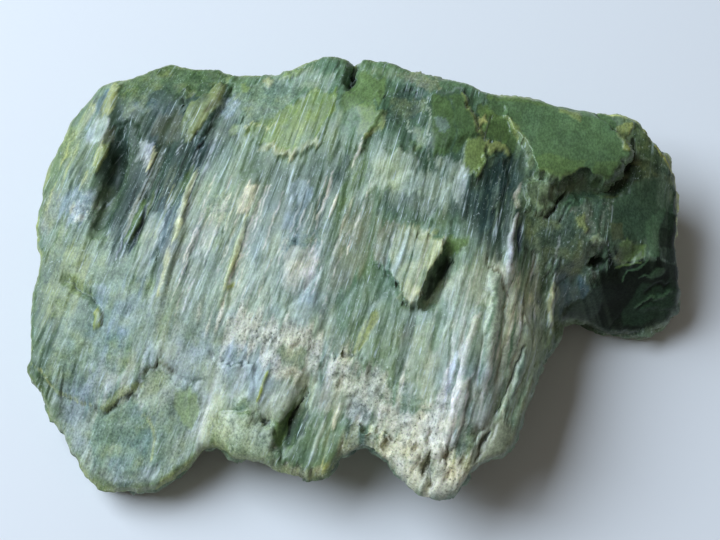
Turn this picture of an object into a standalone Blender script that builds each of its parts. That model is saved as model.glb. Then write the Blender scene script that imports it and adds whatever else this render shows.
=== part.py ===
"""Raw serpentine: one broken piece of green, fibrous serpentine rock.

The stone is one solid.  A grid is stretched over its outline, lifted to hand-set spot heights,
broken up with ledges, ridges, grooves and pits, closed with a broken wall and an underside that
has a flat patch to rest on, and then thinned to a faceted solid.

All the dimensions below are in millimetres.  +X is the long way, +Y the way the fibres run (they
lean a little towards +X), +Z up.  The origin is under the middle of the stone, where it rests.
"""

import bpy
import numpy as np

MM = 0.001

# ---------------------------------------------------------------- driving dimensions
# The outline seen from above, in four sides.  Each side starts where its neighbour ends.
WEST_SIDE = [
    (-46.5, -13.0), (-45.8, -11.5), (-45.9, -9.4), (-46.2, -6.6), (-46.1, -3.0), (-45.4, 0.7),
    (-45.1, 3.6), (-46.2, 7.3), (-46.1, 9.5), (-45.4, 13.2), (-44.5, 16.9), (-43.3, 20.4),
    (-41.6, 23.7), (-40.1, 25.7), (-37.2, 28.6), (-34.6, 29.7), (-32.6, 29.6)]
NORTH_SIDE = [
    (-32.6, 29.6), (-29.7, 30.9), (-27.2, 31.7), (-23.7, 30.9), (-20.2, 30.4), (-17.8, 29.1),
    (-14.9, 29.0), (-11.7, 28.8), (-9.1, 29.4), (-6.8, 30.5), (-5.1, 31.0), (-2.8, 30.9),
    (-0.9, 30.1), (3.1, 29.7), (5.9, 28.8), (8.4, 27.8), (10.7, 26.8), (12.9, 26.4),
    (15.4, 25.7), (17.2, 24.7), (18.6, 24.0), (22.4, 24.2), (25.7, 23.9), (28.3, 23.2),
    (32.3, 22.6), (35.2, 22.5), (37.2, 22.3), (39.5, 21.4), (41.2, 19.9), (42.8, 18.0),
    (44.3, 16.1)]
EAST_SIDE = [
    (43.7, -5.3), (45.5, -3.4), (45.9, -1.1), (45.6, 1.6), (45.1, 4.2), (45.5, 7.0),
    (45.5, 9.8), (45.8, 12.2), (45.3, 14.2), (44.3, 16.1)]
SOUTH_SIDE = [
    (-46.5, -13.0), (-45.9, -14.0), (-44.5, -15.6), (-43.6, -17.6), (-42.6, -19.4),
    (-40.9, -21.3), (-40.1, -24.0), (-38.6, -25.8), (-37.3, -28.0), (-35.5, -29.2),
    (-33.5, -29.4), (-30.7, -29.5), (-27.8, -29.1), (-25.6, -27.7), (-23.3, -26.2),
    (-22.1, -24.9), (-21.0, -23.8), (-19.8, -23.4), (-18.3, -24.3), (-17.2, -25.5),
    (-15.0, -25.8), (-12.5, -26.4), (-10.9, -27.2), (-9.1, -27.9), (-6.8, -28.3),
    (-4.5, -28.2), (-3.3, -26.8), (-2.3, -25.0), (-0.7, -25.1), (1.4, -24.7), (3.1, -25.6),
    (4.4, -27.0), (5.5, -28.4), (6.8, -29.7), (8.4, -31.0), (10.6, -31.7), (12.8, -31.5),
    (14.0, -30.3), (15.1, -28.6), (16.4, -27.3), (17.8, -26.7), (19.7, -26.3),
    (21.0, -24.3), (22.2, -21.9), (23.1, -19.0), (24.0, -17.2), (24.8, -14.5),
    (26.0, -12.5), (27.2, -10.9), (27.9, -8.9), (28.9, -6.1), (30.7, -5.2), (32.7, -5.4),
    (35.2, -6.1), (38.1, -6.3), (42.0, -6.1), (43.7, -5.3)]

# Spot heights of the broken top, (x, y, z).  Those on the outline set the height of the rim.
SPOT_HEIGHTS = [
    (-40, 26, 11.5), (-33, 30, 13.0), (-24, 31, 14.3), (-15, 29, 15.6), (-7, 31, 17.4),
    (-1, 30, 18.8), (8, 28, 19.7), (15, 26, 20.2), (22, 24, 19.6), (32, 23, 17.4),
    (40, 21, 16.6), (44, 16, 14.0), (46, 10, 11.4), (46, 2, 9.6), (44, -5, 5.5),
    (35, -6, 5.0), (29, -6, 9.0), (26, -12, 13.5), (23, -19, 14.2), (20, -26, 14.4),
    (15, -29, 14.0), (11, -32, 13.0), (6, -28, 12.5), (1, -25, 12.1), (-3, -27, 11.0),
    (-9, -28, 10.0), (-15, -26, 10.0), (-20, -23, 9.3), (-23, -26, 7.8), (-31, -30, 6.3),
    (-37, -28, 6.2), (-41, -21, 6.8), (-45, -16, 7.8), (-46, -12, 8.8), (-46, -3, 9.5),
    (-46, 7, 10.1), (-44, 17, 10.8), (-41, 15, 13.2), (-41, 5, 12.0), (-42, -6, 10.2),
    (-34, 14, 12.6), (-36, 26, 14.0), (-26, 25, 15.6), (-27, 10, 15.0), (-29, -1, 13.6),
    (-36, -13, 9.8), (-42, -12, 9.2), (-32, -23, 7.8), (-23, -18, 10.0), (-18, -9, 13.8),
    (-15, 9, 17.2), (-14, 23, 17.4), (-8, -1, 17.0), (-4, 24, 19.8), (-3, 11, 19.6),
    (6, 21, 22.0), (5, 10, 21.2), (7, 1, 19.2), (-1, -12, 15.2), (-11, -21, 11.8),
    (-3, -20, 12.8), (8, -16, 17.0), (11, -26, 15.2), (16, -19, 17.4), (16, -6, 19.6),
    (23, -10, 17.4), (19, 4, 20.4), (15, 17, 22.6), (22, 18, 20.0), (28, 16, 18.6),
    (35, 18, 17.2), (27, 5, 18.4), (36, 10, 16.2), (41, 13, 15.2), (39, 5, 14.6),
    (42, 1, 13.2), (34, 1, 15.8), (38, -2, 10.0)]
SPOT_SLACK = 1.5            # how far the sheet may miss its spot heights, to stay smooth

# Foot of the wall, (x, y, height of its lower edge, how far it is cut in under the rim)
FOOT_STATIONS = [
    (-40, 26, 3.0, 2.5), (-15, 29, 5.0, 4.0), (3, 30, 5.0, 4.0), (22, 24, 4.0, 3.5),
    (40, 21, 2.5, 2.5), (46, 10, 1.5, 1.2), (46, -1, 0.8, 0.8), (42, -6, 0.6, 0.6),
    (31, -5, 0.8, 0.8), (28, -8, 2.0, 2.4), (24, -16, 4.0, 4.2), (19, -26, 5.5, 4.6),
    (10, -32, 6.0, 4.6), (1, -25, 4.5, 4.4), (-9, -28, 2.6, 3.6), (-20, -23, 2.0, 3.2),
    (-31, -30, 1.6, 2.0), (-41, -21, 1.4, 1.8), (-46, -9, 2.0, 2.0), (-46, 8, 2.8, 2.4)]
CONTACT_REACH = 7.0         # from the foot of the wall to where the underside touches down
UNDERSIDE_SWELL = 1.3       # height of the hollows of the underside
RIM_RADIUS = 1.6            # rounding of the rim

# Plates that lie over or under their surroundings: (lift, bevel, hinge, outline).  Where a plate
# runs out at the rim of the stone, its outline is closed beyond the rim.  A tilted plate has a
# hinge: the place where it leaves the surface, and the place where it reaches its full lift.
LEVEL = None
PLATES = {
    "waxy plateau": (2.4, 0.6, ((19.0, 24.0), (31.0, 12.0)), [
        (36.5, 26.0), (38.5, 19.5), (38.6, 16.4), (37.5, 14.3), (35.9, 13.0), (34.8, 11.4),
        (32.2, 11.7), (31.5, 12.8), (29.1, 10.7), (26.4, 11.1), (24.4, 11.9), (23.4, 14.6),
        (21.9, 17.9), (20.5, 20.2), (19.5, 26.0)]),
    "olive plate": (1.0, 0.6, LEVEL, [
        (-2.7, 34.0), (-2.7, 24.9), (-4.2, 19.2), (-5.8, 16.4), (-8.1, 15.7), (-9.0, 14.8),
        (-11.0, 15.7), (-14.0, 17.1), (-15.6, 19.7), (-17.6, 23.9), (-17.6, 34.0)]),
    "tan flap": (0.7, 0.5, LEVEL, [
        (-25.2, 26.5), (-21.5, 27.6), (-18.4, 26.4), (-20.2, 21.9), (-22.5, 17.6),
        (-23.9, 20.5)]),
    "splinter flap": (1.6, 0.5, ((-1.0, 6.0), (8.0, -1.0)), [
        (3.0, 5.0), (5.0, 4.8), (6.9, 3.6), (10.1, 3.1), (11.8, 2.8), (11.8, 0.3),
        (10.8, -1.0), (9.7, -2.8), (8.5, -5.8), (7.2, -6.9), (5.4, -4.9), (4.5, -2.3),
        (2.5, -0.5), (2.3, 1.6)]),
    "south-west lobe": (-1.1, 0.7, LEVEL, [
        (-50.0, -11.8), (-46.0, -12.5), (-42.1, -15.3), (-37.1, -18.1), (-35.1, -18.7),
        (-33.2, -17.7), (-31.7, -16.4), (-30.4, -14.9), (-28.8, -13.1), (-27.4, -12.4),
        (-25.7, -13.5), (-24.3, -14.4), (-22.5, -18.5), (-22.0, -34.0), (-50.0, -34.0)]),
    "south plate": (0.8, 0.5, LEVEL, [
        (-18.5, -19.8), (-14.2, -19.6), (-11.6, -22.1), (-12.0, -31.0), (-17.5, -31.0)]),
    "under flap": (0.9, 0.5, LEVEL, [
        (23.3, 11.3), (26.4, 11.1), (27.1, 8.4), (25.4, 6.4), (22.9, 7.0)]),
}

# Ledges that run out at both ends: (lift, bevel, fade, points).  The high side lies left of the
# way the points run, and it falls back to the level of the top behind the edge.
LEDGES = {
    "flake edge": (0.8, 0.5, 5.0, [(17.4, 16.8), (15.8, 20.5), (14.3, 25.0)]),
    "tan flake": (0.7, 0.4, 3.0, [(20.8, 14.4), (17.6, 14.2), (17.4, 12.6), (13.8, 11.2)]),
    "lobe edge": (0.8, 0.5, 5.0, [(0.6, 14.4), (1.5, 17.1), (3.6, 20.1), (4.2, 24.0)]),
    "lobe step": (0.7, 0.5, 4.0, [
        (-28.8, -26.4), (-28.0, -24.1), (-28.0, -21.7), (-28.6, -20.1), (-30.2, -18.4)]),
    "cross crack west": (0.6, 0.4, 4.0, [(-13.6, -13.4), (-16.5, -13.1), (-19.2, -12.6)]),
    "cross crack east": (0.6, 0.4, 4.0, [(0.6, -11.7), (-1.4, -12.4), (-3.9, -12.6)]),
    "broken tip": (0.8, 0.6, 5.0, [
        (12.8, -25.4), (8.7, -24.2), (5.1, -23.5), (1.6, -22.2), (-2.6, -20.4)]),
}

# Ridges (up) and grooves (down): (height, half width, points)
LINES = {
    "deep groove": (-2.2, 1.2, [(-34.1, 21.2), (-34.5, 16.7), (-35.0, 13.1), (-36.5, 5.0)]),
    "north-west ridge": (1.3, 1.4, [(-34.7, 28.4), (-36.0, 21.8), (-37.4, 14.5)]),
    "olive ridge": (0.9, 0.9, [(-29.9, 10.0), (-31.4, 6.3), (-32.8, 3.2)]),
    "cream ridge": (1.4, 0.8, [(-23.8, 13.0), (-24.9, 4.0), (-25.9, 0.7), (-27.6, -4.5)]),
    "teal groove": (-1.1, 1.1, [(-27.0, 22.1), (-28.7, 15.5), (-29.8, 9.6), (-30.8, 3.5)]),
    "flap groove": (-1.1, 0.8, [(-17.6, 26.3), (-20.0, 21.0), (-22.6, 16.6)]),
    "gap": (-2.6, 0.8, [(-0.3, 31.5), (-0.7, 27.9), (-1.0, 24.6)]),
    "teal hollow": (-1.2, 1.9, [(7.9, 24.2), (6.9, 19.0), (6.2, 14.6)]),
    "pale streak": (0.9, 0.8, [(-15.1, 6.9), (-16.8, 1.5), (-18.7, -4.2)]),
    "leg ridge": (1.5, 1.2, [(19.0, -1.0), (17.9, -10.2), (16.6, -18.8)]),
    "leg ridge west": (1.3, 1.4, [(16.3, -7.0), (14.4, -16.8), (12.4, -25.0)]),
    "leg furrow": (-1.3, 0.9, [(20.4, -2.8), (19.0, -11.5), (18.5, -18.6)]),
    "leg furrow south": (-1.6, 1.0, [(20.9, -14.3), (18.2, -21.6), (15.4, -27.5)]),
    "rod": (1.1, 0.8, [(21.6, 8.0), (20.8, 2.5), (20.0, -3.8)]),
    "rod south": (1.2, 0.9, [(27.2, 0.6), (27.2, -5.3), (26.7, -11.6)]),
    "south groove": (-2.1, 1.0, [(-6.3, -15.0), (-8.6, -19.8), (-10.9, -25.2)]),
    "flap hollow": (-2.8, 1.5, [(13.0, 1.0), (10.9, -2.9), (8.5, -7.0)]),
    "plateau shadow": (-1.8, 1.2, [
        (25.4, 7.2), (27.5, 8.7), (29.5, 10.1), (32.2, 10.6), (35.8, 10.9), (38.4, 14.0)]),
    "block crease": (-1.4, 1.2, [(29.6, -1.5), (32.6, 1.4), (36.0, 0.8), (40.0, 3.4)]),
    "west crack": (-0.7, 0.7, [(-41.6, 0.0), (-38.5, -2.2), (-35.0, -4.6)]),
    "slot": (-1.8, 0.7, [(8.2, -25.8), (9.5, -27.8), (9.9, -30.2)]),
    "south hollow": (-1.2, 1.0, [(-14.6, -20.4), (-11.0, -21.1)]),
}

# Round pits: (x, y, radius, depth)
PITS = [(33.2, 1.5, 1.3, 1.6), (3.9, -24.8, 0.7, 1.0), (8.0, -25.2, 0.6, 0.9),
        (11.7, -26.2, 0.7, 1.0), (16.0, -23.3, 0.8, 1.0)]

# Parts of the top that broke smooth and waxy: (x, y, radius, how smooth)
WAXY_SPOTS = [
    (30.0, 17.5, 8.5, 1.0), (22.0, 20.0, 5.5, 0.9), (-9.0, 21.5, 7.0, 0.8),
    (13.0, 20.0, 5.0, 0.7), (38.0, 9.0, 7.0, 0.7), (-36.0, -22.0, 9.0, 0.7)]

# Fibres: bundles of splinters, (width, length, height), coarse to fine
FIBRE_TURN = 0.33           # tangent of the fibres' lean from +Y towards +X, at x = 0
FIBRE_FAN = -0.0045         # change of that tangent for each millimetre towards +X
BUNDLES = [(4.2, 30.0, 0.42), (2.1, 18.0, 0.30)]
SWELL = (9.0, 24.0, 0.45)   # width, length and height of the slow waves of the surface
BREAK = (4.6, 0.50)         # size and height of the blocky fracture on the wall and the underside
REST_CLEARANCE = 0.8        # relief dies out over this height above the resting plane
REST_FLATNESS = 0.15        # points of the thinned body this low are pressed onto that plane

GRID_ACROSS = 230
GRID_ALONG = 116
WALL_ROWS = 9
UNFOLD_STEPS = 400
TRIANGLE_BUDGET = 9400
SEED = 41

# ---------------------------------------------------------------- noise
RANDOM = np.random.default_rng(SEED)
SHUFFLE = RANDOM.permutation(256)
CHANCE = RANDOM.uniform(-1.0, 1.0, (256, 4))


def smoothstep(value):
    """0 below 0, 1 above 1, and an easy curve between."""
    clipped = np.clip(value, 0.0, 1.0)
    return clipped * clipped * (3.0 - 2.0 * clipped)


def cell_index(ix, iy, iz, salt):
    """A shuffled number from 0 to 255 for each whole-number cell."""
    first = SHUFFLE[(ix + salt) & 255]
    second = SHUFFLE[(first + iy) & 255]
    return SHUFFLE[(second + iz) & 255]


def value_noise(points, salt):
    """Smooth noise in [-1, 1] with a cell size of one unit."""
    base = np.floor(points).astype(int)
    blend = smoothstep(points - base)
    total = np.zeros(len(points))
    for corner in np.ndindex(2, 2, 2):
        weight = np.prod(np.where(corner, blend, 1.0 - blend), axis=1)
        ix, iy, iz = (base + corner).T
        total += weight * CHANCE[cell_index(ix, iy, iz, salt), 0]
    return total


def splinter_cells(points, salt):
    """Random level of the nearest jittered cell, in [-1, 1], and the gap to the next cell."""
    base = np.floor(points).astype(int)
    nearest = np.full(len(points), 9.0)
    second = np.full(len(points), 9.0)
    level = np.zeros(len(points))
    for step in np.ndindex(3, 3, 3):
        cell = base + np.array(step) - 1
        chance = CHANCE[cell_index(*cell.T, salt)]
        distance = np.linalg.norm(cell + 0.5 + 0.45 * chance[:, :3] - points, axis=1)
        closer = distance < nearest
        second = np.where(closer, nearest, np.minimum(second, distance))
        level = np.where(closer, chance[:, 3], level)
        nearest = np.where(closer, distance, nearest)
    return level, second - nearest


def fibre_coordinates(points):
    """Across the fibres, along them, and up, in millimetres."""
    x, y, z = points.T
    turn = np.clip(FIBRE_TURN + FIBRE_FAN * x, 0.16, 0.42)
    return np.stack([x - turn * y, y + turn * x, z], axis=1)


# ---------------------------------------------------------------- plan
def resample(side, fractions):
    """Points along a side; the steps are even half along it and half across the fibres."""
    points = np.array(side)
    steps = np.diff(points, axis=0)
    walked = np.hypot(*steps.T)
    crossed = np.abs(steps[:, 0] - FIBRE_TURN * steps[:, 1])
    share = walked / walked.sum() + crossed / crossed.sum()
    reached = np.concatenate([[0.0], np.cumsum(share)]) / share.sum()
    return np.stack([np.interp(fractions, reached, points[:, axis]) for axis in (0, 1)], axis=1)


def stretched_grid(south, north, west, east):
    """A grid over the area between four sides: each point blends the sides facing it."""
    across = np.linspace(0.0, 1.0, len(south))[None, :, None]
    along = np.linspace(0.0, 1.0, len(west))[:, None, None]
    ruled = (1 - along) * south[None] + along * north[None]
    ruled = ruled + (1 - across) * west[:, None] + across * east[:, None]
    corners = (1 - along) * ((1 - across) * south[0] + across * south[-1])
    corners = corners + along * ((1 - across) * north[0] + across * north[-1])
    return unfold(ruled - corners)


def unfold(grid):
    """Ease the inner points of a grid until none of its cells is folded over."""
    for _ in range(UNFOLD_STEPS):
        inner = grid[1:-1, 1:-1]
        across = 0.5 * (grid[1:-1, 2:] - grid[1:-1, :-2])
        along = 0.5 * (grid[2:, 1:-1] - grid[:-2, 1:-1])
        twist = 0.25 * (grid[2:, 2:] - grid[2:, :-2] - grid[:-2, 2:] + grid[:-2, :-2])
        slack = 1e-3
        width = (across ** 2).sum(axis=2, keepdims=True) + slack
        depth = (along ** 2).sum(axis=2, keepdims=True) + slack
        shear = (across * along).sum(axis=2, keepdims=True)
        pull = depth * (grid[1:-1, 2:] + grid[1:-1, :-2])
        pull = pull + width * (grid[2:, 1:-1] + grid[:-2, 1:-1]) - 2.0 * shear * twist
        eased = pull / (2.0 * (width + depth))
        grid = grid.copy()
        grid[1:-1, 1:-1] = 0.3 * inner + 0.7 * eased
    return grid


def loop_of(grid):
    """The border of a grid, once round: south side, east, north and west."""
    return np.concatenate([grid[0, :-1], grid[:-1, -1], grid[-1, :0:-1], grid[:0:-1, 0]])


def line_distance(points, x, y):
    """Distance to a line of points, which side (+1 is left), and how far along it, 0 to 1."""
    ends = np.array(points)
    lengths = np.hypot(*np.diff(ends, axis=0).T)
    starts = np.concatenate([[0.0], np.cumsum(lengths)])
    distance = np.full(np.shape(x), 1e6)
    side = np.ones(np.shape(x))
    along = np.zeros(np.shape(x))
    for start, end, length, begun in zip(ends[:-1], ends[1:], lengths, starts):
        step = (end - start) / length
        walked = np.clip((x - start[0]) * step[0] + (y - start[1]) * step[1], 0.0, length)
        off_x = x - start[0] - walked * step[0]
        off_y = y - start[1] - walked * step[1]
        apart = np.hypot(off_x, off_y)
        closer = apart < distance
        side = np.where(closer, np.sign(step[0] * off_y - step[1] * off_x), side)
        along = np.where(closer, (begun + walked) / starts[-1], along)
        distance = np.where(closer, apart, distance)
    return distance, side, along


def inside_depth(polygon, x, y):
    """How far inside a closed outline each place is; negative outside."""
    closed = polygon + polygon[:1]
    distance, _, _ = line_distance(closed, x, y)
    crossings = np.zeros(np.shape(x), dtype=int)
    for (ax, ay), (bx, by) in zip(closed[:-1], closed[1:]):
        straddles = (ay > y) != (by > y)
        level = (y - ay) / (by - ay if by != ay else 1.0)
        crossings += straddles & (x < ax + level * (bx - ax))
    return np.where(crossings % 2 == 1, distance, -distance)


def inset_loop(loop, amounts):
    """A loop moved inwards, with its corners eased."""
    ahead = np.roll(loop, -3, axis=0) - np.roll(loop, 3, axis=0)
    inward = np.stack([-ahead[:, 1], ahead[:, 0]], axis=1)
    inward /= np.linalg.norm(inward, axis=1)[:, None]
    moved = loop + inward * amounts[:, None]
    for _ in range(8):
        moved = 0.5 * moved + 0.25 * (np.roll(moved, 1, axis=0) + np.roll(moved, -1, axis=0))
    return moved


# ---------------------------------------------------------------- height of the top
def thin_sheet(spots, slack):
    """The smoothest sheet near a set of spot heights, as a function of x and y."""
    table = np.array(spots, dtype=float)
    places, heights = table[:, :2], table[:, 2]
    count = len(places)

    def bend(distance):
        return distance ** 2 * np.log(np.maximum(distance, 1e-9))

    apart = np.linalg.norm(places[:, None] - places[None], axis=2)
    system = np.zeros((count + 3, count + 3))
    system[:count, :count] = bend(apart) + slack * np.eye(count)
    system[:count, count] = 1.0
    system[:count, count + 1:] = places
    system[count:, :count] = system[:count, count:].T
    weights = np.linalg.solve(system, np.concatenate([heights, np.zeros(3)]))

    def height(x, y):
        total = weights[count] + weights[count + 1] * x + weights[count + 2] * y
        for (spot_x, spot_y), weight in zip(places, weights[:count]):
            total = total + weight * bend(np.hypot(x - spot_x, y - spot_y))
        return total

    return height


def ragged(x, y, size, salt):
    """A shift in millimetres that makes a drawn edge look torn."""
    flat = np.stack([x, y, np.zeros_like(x)], axis=-1).reshape(-1, 3)
    shift = value_noise(flat / size, salt) + 0.5 * value_noise(flat / (0.45 * size), salt + 1)
    return (0.4 * size * shift).reshape(np.shape(x))


def plate_relief(x, y):
    """Plates lifted above or sunk below their surroundings, with torn edges."""
    relief = np.zeros_like(x)
    for salt, (lift, bevel, hinge, outline) in enumerate(PLATES.values()):
        depth = inside_depth(outline, x, y) + ragged(x, y, 1.2, 100 + 5 * salt)
        plate = lift * smoothstep(depth / bevel + 0.5)
        if hinge:
            (start_x, start_y), (full_x, full_y) = hinge
            run_x, run_y = full_x - start_x, full_y - start_y
            risen = ((x - start_x) * run_x + (y - start_y) * run_y) / (run_x ** 2 + run_y ** 2)
            plate = plate * smoothstep(risen)
        relief += plate
    return relief


def ledge_relief(x, y):
    """Short steps; each fades out behind its edge and towards both ends."""
    relief = np.zeros_like(x)
    for salt, (lift, bevel, fade, points) in enumerate(LEDGES.values()):
        distance, side, along = line_distance(points, x, y)
        behind = distance * side + ragged(x, y, 1.4, 10 * salt)
        ends = smoothstep(along / 0.12) * smoothstep((1.0 - along) / 0.12)
        relief += lift * ends * smoothstep(behind / bevel) * np.exp(-np.maximum(behind, 0) / fade)
    return relief


def line_relief(x, y):
    """Ridges and grooves, deepest half way along and pinched out at their ends."""
    relief = np.zeros_like(x)
    for height, half_width, points in LINES.values():
        distance, _, along = line_distance(points, x, y)
        taper = np.sqrt(np.clip(4.0 * along * (1.0 - along), 0.0, 1.0))
        relief += height * taper * np.exp(-(distance / half_width) ** 2)
    return relief


def pit_relief(x, y):
    """Round pits with a flat floor."""
    relief = np.zeros_like(x)
    for pit_x, pit_y, radius, depth in PITS:
        relief -= depth * np.exp(-(np.hypot(x - pit_x, y - pit_y) / radius) ** 4)
    return relief


def top_height(x, y, rim_distance):
    """Height of the top: the sheet, its relief and the rounding at the rim."""
    height = thin_sheet(SPOT_HEIGHTS, SPOT_SLACK)(x, y) + plate_relief(x, y)
    height += ledge_relief(x, y) + line_relief(x, y) + pit_relief(x, y)
    near_rim = np.clip(1.0 - rim_distance / RIM_RADIUS, 0.0, 1.0)
    return height - RIM_RADIUS * (1.0 - np.sqrt(1.0 - near_rim ** 2))


def waxiness(x, y):
    """1 where the top broke smooth, 0 where it is fibrous."""
    smooth = np.zeros_like(x)
    for spot_x, spot_y, radius, strength in WAXY_SPOTS:
        fall = smoothstep(1.6 - np.hypot(x - spot_x, y - spot_y) / radius)
        smooth = np.maximum(smooth, strength * fall)
    return smooth


# ---------------------------------------------------------------- wall and underside
def foot_values(loop):
    """Height and undercut of the foot of the wall, blended between the nearest stations."""
    table = np.array(FOOT_STATIONS)
    apart = np.linalg.norm(loop[:, None] - table[None, :, :2], axis=2)
    weights = 1.0 / (apart + 0.5) ** 3
    weights /= weights.sum(axis=1)[:, None]
    return weights @ table[:, 2], weights @ table[:, 3]


def underside_height(grid, foot_loop, foot_height):
    """The underside rises to the foot of the wall and swells in hollows between its rests."""
    x, y = grid[..., 0], grid[..., 1]
    border = np.vstack([foot_loop, foot_loop[:1]])
    distance, _, along = line_distance(border, x, y)
    lift = np.interp(along, np.linspace(0.0, 1.0, len(foot_height)), foot_height)
    flat = np.stack([x, y, np.zeros_like(x)], axis=-1).reshape(-1, 3)
    swell = UNDERSIDE_SWELL * value_noise(flat / 13.0, 90).reshape(x.shape)
    inner = smoothstep(distance / CONTACT_REACH)
    return np.maximum(lift * (1.0 - inner) + inner * np.maximum(swell - 0.1, 0.0), 0.0)


def wall_rows(rim, foot, rows):
    """Rows of the wall between the rim and its foot: down first, then in under the stone."""
    down = np.linspace(0.0, 1.0, rows + 2)[1:-1]
    for part in down:
        ring = rim + (foot - rim) * part
        ring[:, :2] = rim[:, :2] + (foot[:, :2] - rim[:, :2]) * part ** 1.7
        yield ring


# ---------------------------------------------------------------- the closed body
def grid_faces(index):
    """Four-sided faces of a grid of point numbers."""
    corners = [index[:-1, :-1], index[:-1, 1:], index[1:, 1:], index[1:, :-1]]
    return np.stack(corners, axis=-1).reshape(-1, 4)


def band_faces(upper, lower):
    """Four-sided faces between two closed loops of point numbers."""
    return np.stack([upper, lower, np.roll(lower, -1), np.roll(upper, -1)], axis=1)


def stone_surface():
    """Points and faces of the stone before its small relief."""
    across = np.linspace(0.0, 1.0, GRID_ACROSS)
    along = np.linspace(0.0, 1.0, GRID_ALONG)
    plan = stretched_grid(resample(SOUTH_SIDE, across), resample(NORTH_SIDE, across),
                          resample(WEST_SIDE, along), resample(EAST_SIDE, along))
    rim_plan = loop_of(plan)
    outline = SOUTH_SIDE[:-1] + EAST_SIDE[:-1] + NORTH_SIDE[:0:-1] + WEST_SIDE[::-1]
    rim_distance, _, _ = line_distance(outline, plan[..., 0], plan[..., 1])
    top = np.dstack([plan, top_height(plan[..., 0], plan[..., 1], rim_distance)])

    foot_height, undercut = foot_values(rim_plan)
    foot_plan = inset_loop(rim_plan, undercut)
    turns = np.cumsum([0, GRID_ACROSS - 1, GRID_ALONG - 1, GRID_ACROSS - 1, GRID_ALONG - 1])
    closed = np.vstack([foot_plan, foot_plan[:1]])
    sides = [closed[start:stop + 1] for start, stop in zip(turns[:-1], turns[1:])]
    under_plan = stretched_grid(sides[0], sides[2][::-1], sides[3][::-1], sides[1])
    under = np.dstack([under_plan, underside_height(under_plan, foot_plan, foot_height)])

    rim = loop_of(top)
    foot = loop_of(under)
    rings = list(wall_rows(rim, foot, WALL_ROWS))
    points = np.concatenate([top.reshape(-1, 3), *rings, under.reshape(-1, 3)])

    size = GRID_ACROSS * GRID_ALONG
    top_index = np.arange(size).reshape(GRID_ALONG, GRID_ACROSS)
    under_index = top_index + size + len(rim) * WALL_ROWS
    loops = [loop_of(top_index)]
    loops += [size + row * len(rim) + np.arange(len(rim)) for row in range(WALL_ROWS)]
    loops += [loop_of(under_index)]
    bands = [band_faces(upper, lower) for upper, lower in zip(loops[:-1], loops[1:])]
    faces = np.concatenate([grid_faces(top_index), *bands, grid_faces(under_index)[:, ::-1]])
    return points, faces


def outward_normals(points, faces):
    """Unit normals at the points, averaged from the faces round them."""
    diagonals = points[faces[:, 2]] - points[faces[:, 0]], points[faces[:, 3]] - points[faces[:, 1]]
    face_normals = np.cross(*diagonals)
    normals = np.zeros_like(points)
    for corner in range(4):
        np.add.at(normals, faces[:, corner], face_normals)
    return normals / np.maximum(np.linalg.norm(normals, axis=1), 1e-12)[:, None]


def small_relief(points, normals):
    """Height of the fibres, splinters and blocky fracture, in millimetres."""
    fibre = fibre_coordinates(points)
    relief = np.zeros(len(points))
    for salt, (width, length, height) in enumerate(BUNDLES):
        level, _ = splinter_cells(fibre / (width, length, width), 20 + salt)
        relief += height * level
    width, length, height = SWELL
    relief += height * value_noise(fibre / (width, length, width), 30)
    facing_up = smoothstep(normals[:, 2] * 2.0)
    relief *= 1.0 - 0.85 * waxiness(points[:, 0], points[:, 1]) * facing_up
    size, height = BREAK
    blocks, _ = splinter_cells(points / size, 40)
    relief += height * blocks * (1.0 - facing_up)
    return relief * smoothstep(points[:, 2] / REST_CLEARANCE)


def stone_mesh():
    """The finished surface as a mesh in metres, resting on z = 0 and centred in plan."""
    points, faces = stone_surface()
    normals = outward_normals(points, faces)
    points = points + normals * small_relief(points, normals)[:, None]
    points[:, 2] = np.maximum(points[:, 2], 0.0)
    points[:, :2] -= 0.5 * (points[:, :2].max(axis=0) + points[:, :2].min(axis=0))
    mesh = bpy.data.meshes.new("serpentine")
    mesh.from_pydata((points * MM).tolist(), [], faces.tolist())
    mesh.update()
    return mesh


def thin_out(stone):
    """Thin the stone to its triangle budget, then press its resting patch flat again."""
    thin = stone.modifiers.new("thin out", "DECIMATE")
    thin.ratio = TRIANGLE_BUDGET / (2.0 * len(stone.data.polygons))
    thin.use_collapse_triangulate = True
    thinned = bpy.data.meshes.new_from_object(
        stone.evaluated_get(bpy.context.evaluated_depsgraph_get()))
    stone.modifiers.remove(thin)
    stone.data = thinned
    places = np.empty(3 * len(thinned.vertices))
    thinned.vertices.foreach_get("co", places)
    heights = places[2::3]
    heights[heights < REST_FLATNESS * MM] = 0.0
    thinned.vertices.foreach_set("co", places)
    thinned.update()


def serpentine_material():
    """Waxy grey-green serpentine."""
    material = bpy.data.materials.new("serpentine")
    material.use_nodes = True
    shader = material.node_tree.nodes["Principled BSDF"]
    shader.inputs["Base Color"].default_value = (0.14, 0.22, 0.14, 1.0)
    shader.inputs["Roughness"].default_value = 0.42
    shader.inputs["Metallic"].default_value = 0.0
    material.diffuse_color = (0.14, 0.22, 0.14, 1.0)
    return material


def build():
    """Clear the scene and add the stone."""
    for old in list(bpy.data.objects):
        bpy.data.objects.remove(old, do_unlink=True)
    mesh = stone_mesh()
    stone = bpy.data.objects.new("serpentine", mesh)
    bpy.context.scene.collection.objects.link(stone)
    mesh.materials.append(serpentine_material())
    thin_out(stone)


build()
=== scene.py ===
"""Raw serpentine: the broken, fibrous stone on a plain pale floor.

The stone is one closed surface.  A grid is stretched over its outline, lifted to the listed spot
heights and broken up with plates, ledges, ridges, grooves and pits.  A broken wall and an underside
close it.  Splinters, ribs, crumbs and shells are then raised along its normals.

Its colours are laid on in turn: broad zones, patches that follow the fibres, outlined areas, combs
of torn threads, and single strokes.  An area also sets the finish under it, and areas and strokes
lift or sink it a little.  Some colours are painted light: shadow in hollows and gaps, shade on the
faces turned from the window, sheen and glints on fibres and ripples, and light through the rim.

Plan dimensions are in millimetres; meshes are in metres.  The fibres run along +Y and lean a
little towards +X.
"""
import math

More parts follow.
